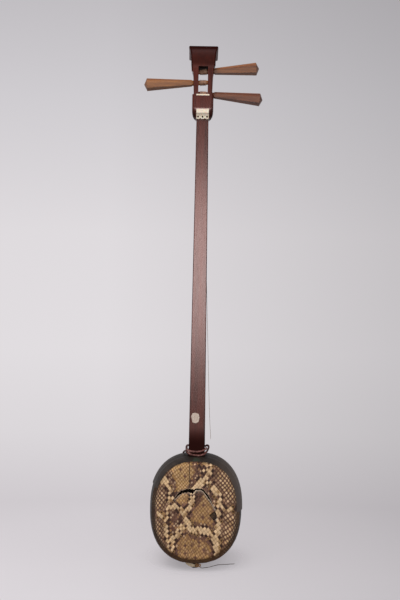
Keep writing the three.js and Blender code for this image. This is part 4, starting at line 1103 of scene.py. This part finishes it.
TIE_ROUTE = [
    (-24, -6, 206.9), (-22, -8.5, 209.8), (-19.8, -14, 211.5), (-16.4, -19.8, 209.2),
    (-9.5, -22.6, 206.2), (0, -22.9, 205), (7, -22.8, 205.2), (12.8, -21.6, 207.2),
    (17.2, -17.2, 210.4), (19.6, -12, 213), (21.3, -8, 216.8), (20.8, -4.8, 219.4),
    (18.2, -1.5, 219.9), (15.4, 3, 218), (10, 9.4, 217.2), (0, 12, 217.2), (-10, 9.4, 217.8),
    (-15.6, 2.5, 218.9), (-17.6, -5, 219), (-18.3, -11, 217.4), (-17.6, -17, 214.2),
    (-12.5, -21.8, 212.4), (-6, -22.6, 211.7), (2, -22.7, 211.5), (9, -22.2, 212.7),
    (14.6, -19, 215), (16.9, -12.5, 216.6), (16.9, -4, 214.4), (13.5, 5, 211.5),
    (6, 11.2, 210.2), (-6, 11.2, 210.2), (-13.8, 5, 210.6), (-17, -3, 212.4), (-17.3, -8, 213.4)]
tie = strand("leather_neck_tie", curve_points(TIE_ROUTE, 10), 3.9, tie_leather(),
             flatness=0.84, lay=22, sides=16, spacing=0.001)
placed(tie, "neck_tie")

# Tail: the strings' cord wound in the foot's groove, its knot in front, and a torn
# strip of rawhide that hangs beside the knot under the drum.
GROOVE_RADIUS, GROOVE_TURNS, GROOVE_Z, GROOVE_HEIGHT = 5.95, 1.5, 3.75, 3.6
KNOT_MIDDLE, KNOT_STEPS = Vector((5.6, -9.4, 5.8)), 97

# Hemp: pale and clean in the groove, brown and handled in the knot
pale_fibre = fibre("pale_hemp_cord", "8a6c4a", "d3b98f", 0.8, 0.5)
knot_fibre = fibre("brown_hemp_cord", "8a5c38", "d8a678", 0.85, 0.5)
groove_points = []
for share in [i / 54 for i in range(55)]:
    angle = 2 * math.pi * GROOVE_TURNS * share - math.pi / 3
    groove_points.append(Vector((GROOVE_RADIUS * math.cos(angle), GROOVE_RADIUS * math.sin(angle),
                                 GROOVE_Z + GROOVE_HEIGHT * share)) * MM)
tail_cord = strand("cord_in_foot_groove", groove_points, 1.9, pale_fibre, lay=4, sides=12)
placed(tail_cord, "tail_cord")

knot_points = []
for t in [2 * math.pi * i / KNOT_STEPS for i in range(KNOT_STEPS)]:
    swell = 2.5 + 1.25 * math.cos(3 * t)
    knot_points.append((KNOT_MIDDLE + Vector((
        1.3 * swell * math.cos(2 * t), 1.3 * math.sin(3 * t), 0.9 * swell * math.sin(2 * t)))) * MM)
knot = strand("tail_cord_knot", knot_points, 1.9, knot_fibre, lay=4, sides=12)
placed(knot, "tail_knot")

# Dried rawhide: cream, fibrous and matt
pale_rawhide = raw_hide("pale_rawhide", "dcbc92", "fdecd0")
placed(eased_copy("torn_rawhide_strip", "rawhide_strip", pale_rawhide, 0.25), "rawhide_strip")

# Paper scrap: what is left of a pasted slip on the neck's front, thin, dusty and torn
# round its edge.
dusty_paper = raw_hide("dusty_paper", "bca392", "f0dfd1")
placed(eased_copy("pasted_paper_scrap", "paper_scrap", dusty_paper, 0.08), "paper_scrap")

# Studio: a pale floor that fades out round the object, a pale grey backdrop behind,
# one large soft lamp from above and one behind the camera.
FLOOR_RADIUS = 1600
floor_mesh = bpy.data.meshes.new("studio_floor")
floor_mesh.from_pydata(circle(FLOOR_RADIUS, 96, 0), [], [tuple(range(96))])
# Pale matt paper, mostly clear near the object and wholly clear away from it. Just behind the foot
# it is less clear, so the drum's real shadow on it shows, and its dimmer paper also darkens the
# floor there as a painted shadow
paint, tree, shader, place = new_material("pale_floor_paper")
back = add_node(tree, "Mapping", {
    "Vector": place, "Location": (0, -0.055, 0), "Scale": (1, 0.8, 1)})
clear = 1
for spot, start, full, least in ((place, 0.12, 0.5, 0.78), (back, 0.03, 0.12, 0.5)):
    far = add_node(tree, "VectorMath", {0: spot}, operation="LENGTH")
    fade = add_node(tree, "MapRange", {
        "Value": far, "From Min": start, "From Max": full, "To Min": least},
        interpolation_type="SMOOTHSTEP")
    clear = add_node(tree, "Math", {0: clear, 1: fade}, operation="MULTIPLY")
faded = add_node(tree, "MixShader", {0: clear, 1: shader, 2: add_node(tree, "BsdfTransparent")})
wire(shader, {"Base Color": linear("dcd6da"), "Roughness": 0.9, "Specular IOR Level": 0})
wire(tree.nodes["Material Output"], {"Surface": faded})
linked("studio_floor", floor_mesh, paint)

world = bpy.data.worlds.new("studio")
bpy.context.scene.world = world
world.use_nodes = True
tree = world.node_tree
tree.nodes.clear()
way = add_node(tree, "TexCoord").outputs["Generated"]
x, y, z = add_node(tree, "SeparateXYZ", {"Vector": way}).outputs
# Height on the backdrop, painted shade on its right side, and the light from above, behind and
# below
height, painted_right_shade, behind, upward = [add_node(tree, "MapRange", {
    "Value": value, "From Min": start, "From Max": full, "To Min": first, "To Max": last})
    for value, start, full, first, last in (
        (z, -0.35, 0.35, 0, 1), (x, -0.1, 0.22, 1, 0.76), (y, -0.3, 0.3, 0.12, 1),
        (z, -0.5, 0.5, 0.08, 0.4))]
# The backdrop by height, with painted shade towards the top and in a dim band where the floor meets
# it
backdrop = add_node(tree, "ValToRGB", {"Fac": height}, stops=[
    (0.0, "dedade"), (0.1, "dbd6da"), (0.197, "cfcace"), (0.3, "dbd7da"), (0.42, "e1dde0"),
    (0.6, "dfdbde"), (0.8, "cfccd0"), (0.95, "bfbcc0")])
seen = add_node(tree, "VectorMath", {0: backdrop, "Scale": painted_right_shade}, operation="SCALE")
# The backdrop shows to the camera and in reflections. Other rays get an even pale light.
rays = add_node(tree, "LightPath").outputs
mirrored = add_node(tree, "Math", {0: rays["Is Glossy Ray"], 1: behind}, operation="MULTIPLY")
straight = mirrored
for ray in ("Is Camera Ray", "Is Transmission Ray"):
    straight = add_node(tree, "Math", {0: straight, 1: rays[ray]}, operation="MAXIMUM")
matt_ray = add_node(tree, "Math", {0: 1.0, 1: rays["Is Glossy Ray"]}, operation="SUBTRACT")
fill = add_node(tree, "Math", {0: matt_ray, 1: upward}, operation="MULTIPLY")
shown = add_node(tree, "Background", {"Color": seen, "Strength": 1.0})
light = add_node(tree, "Background", {"Color": linear("f4f2f4"), "Strength": fill})
either = add_node(tree, "MixShader", {0: straight, 1: light, 2: shown})
add_node(tree, "OutputWorld", {"Surface": either})

for name, spot, aim, size, power in (
        ("lamp_above", (-0.5, -1.4, 2.3), (0, 0, 0.45), (1.4, 1.4), 35),
        ("lamp_behind_camera", (0.0, -1.78, 0.595), (0, 0, 0.58), (0.5, 0.6), 7)):
    lamp = bpy.data.lights.new(name, "AREA")
    lamp.shape = "RECTANGLE"
    lamp.size, lamp.size_y = size
    lamp.energy = power
    holder = bpy.data.objects.new(name, lamp)
    bpy.context.scene.collection.objects.link(holder)
    holder.location = spot
    holder.rotation_euler = (Vector(aim) - Vector(spot)).to_track_quat("-Z", "Y").to_euler()
    holder.visible_glossy = name != "lamp_above"

bpy.context.scene.view_settings.view_transform = "Standard"
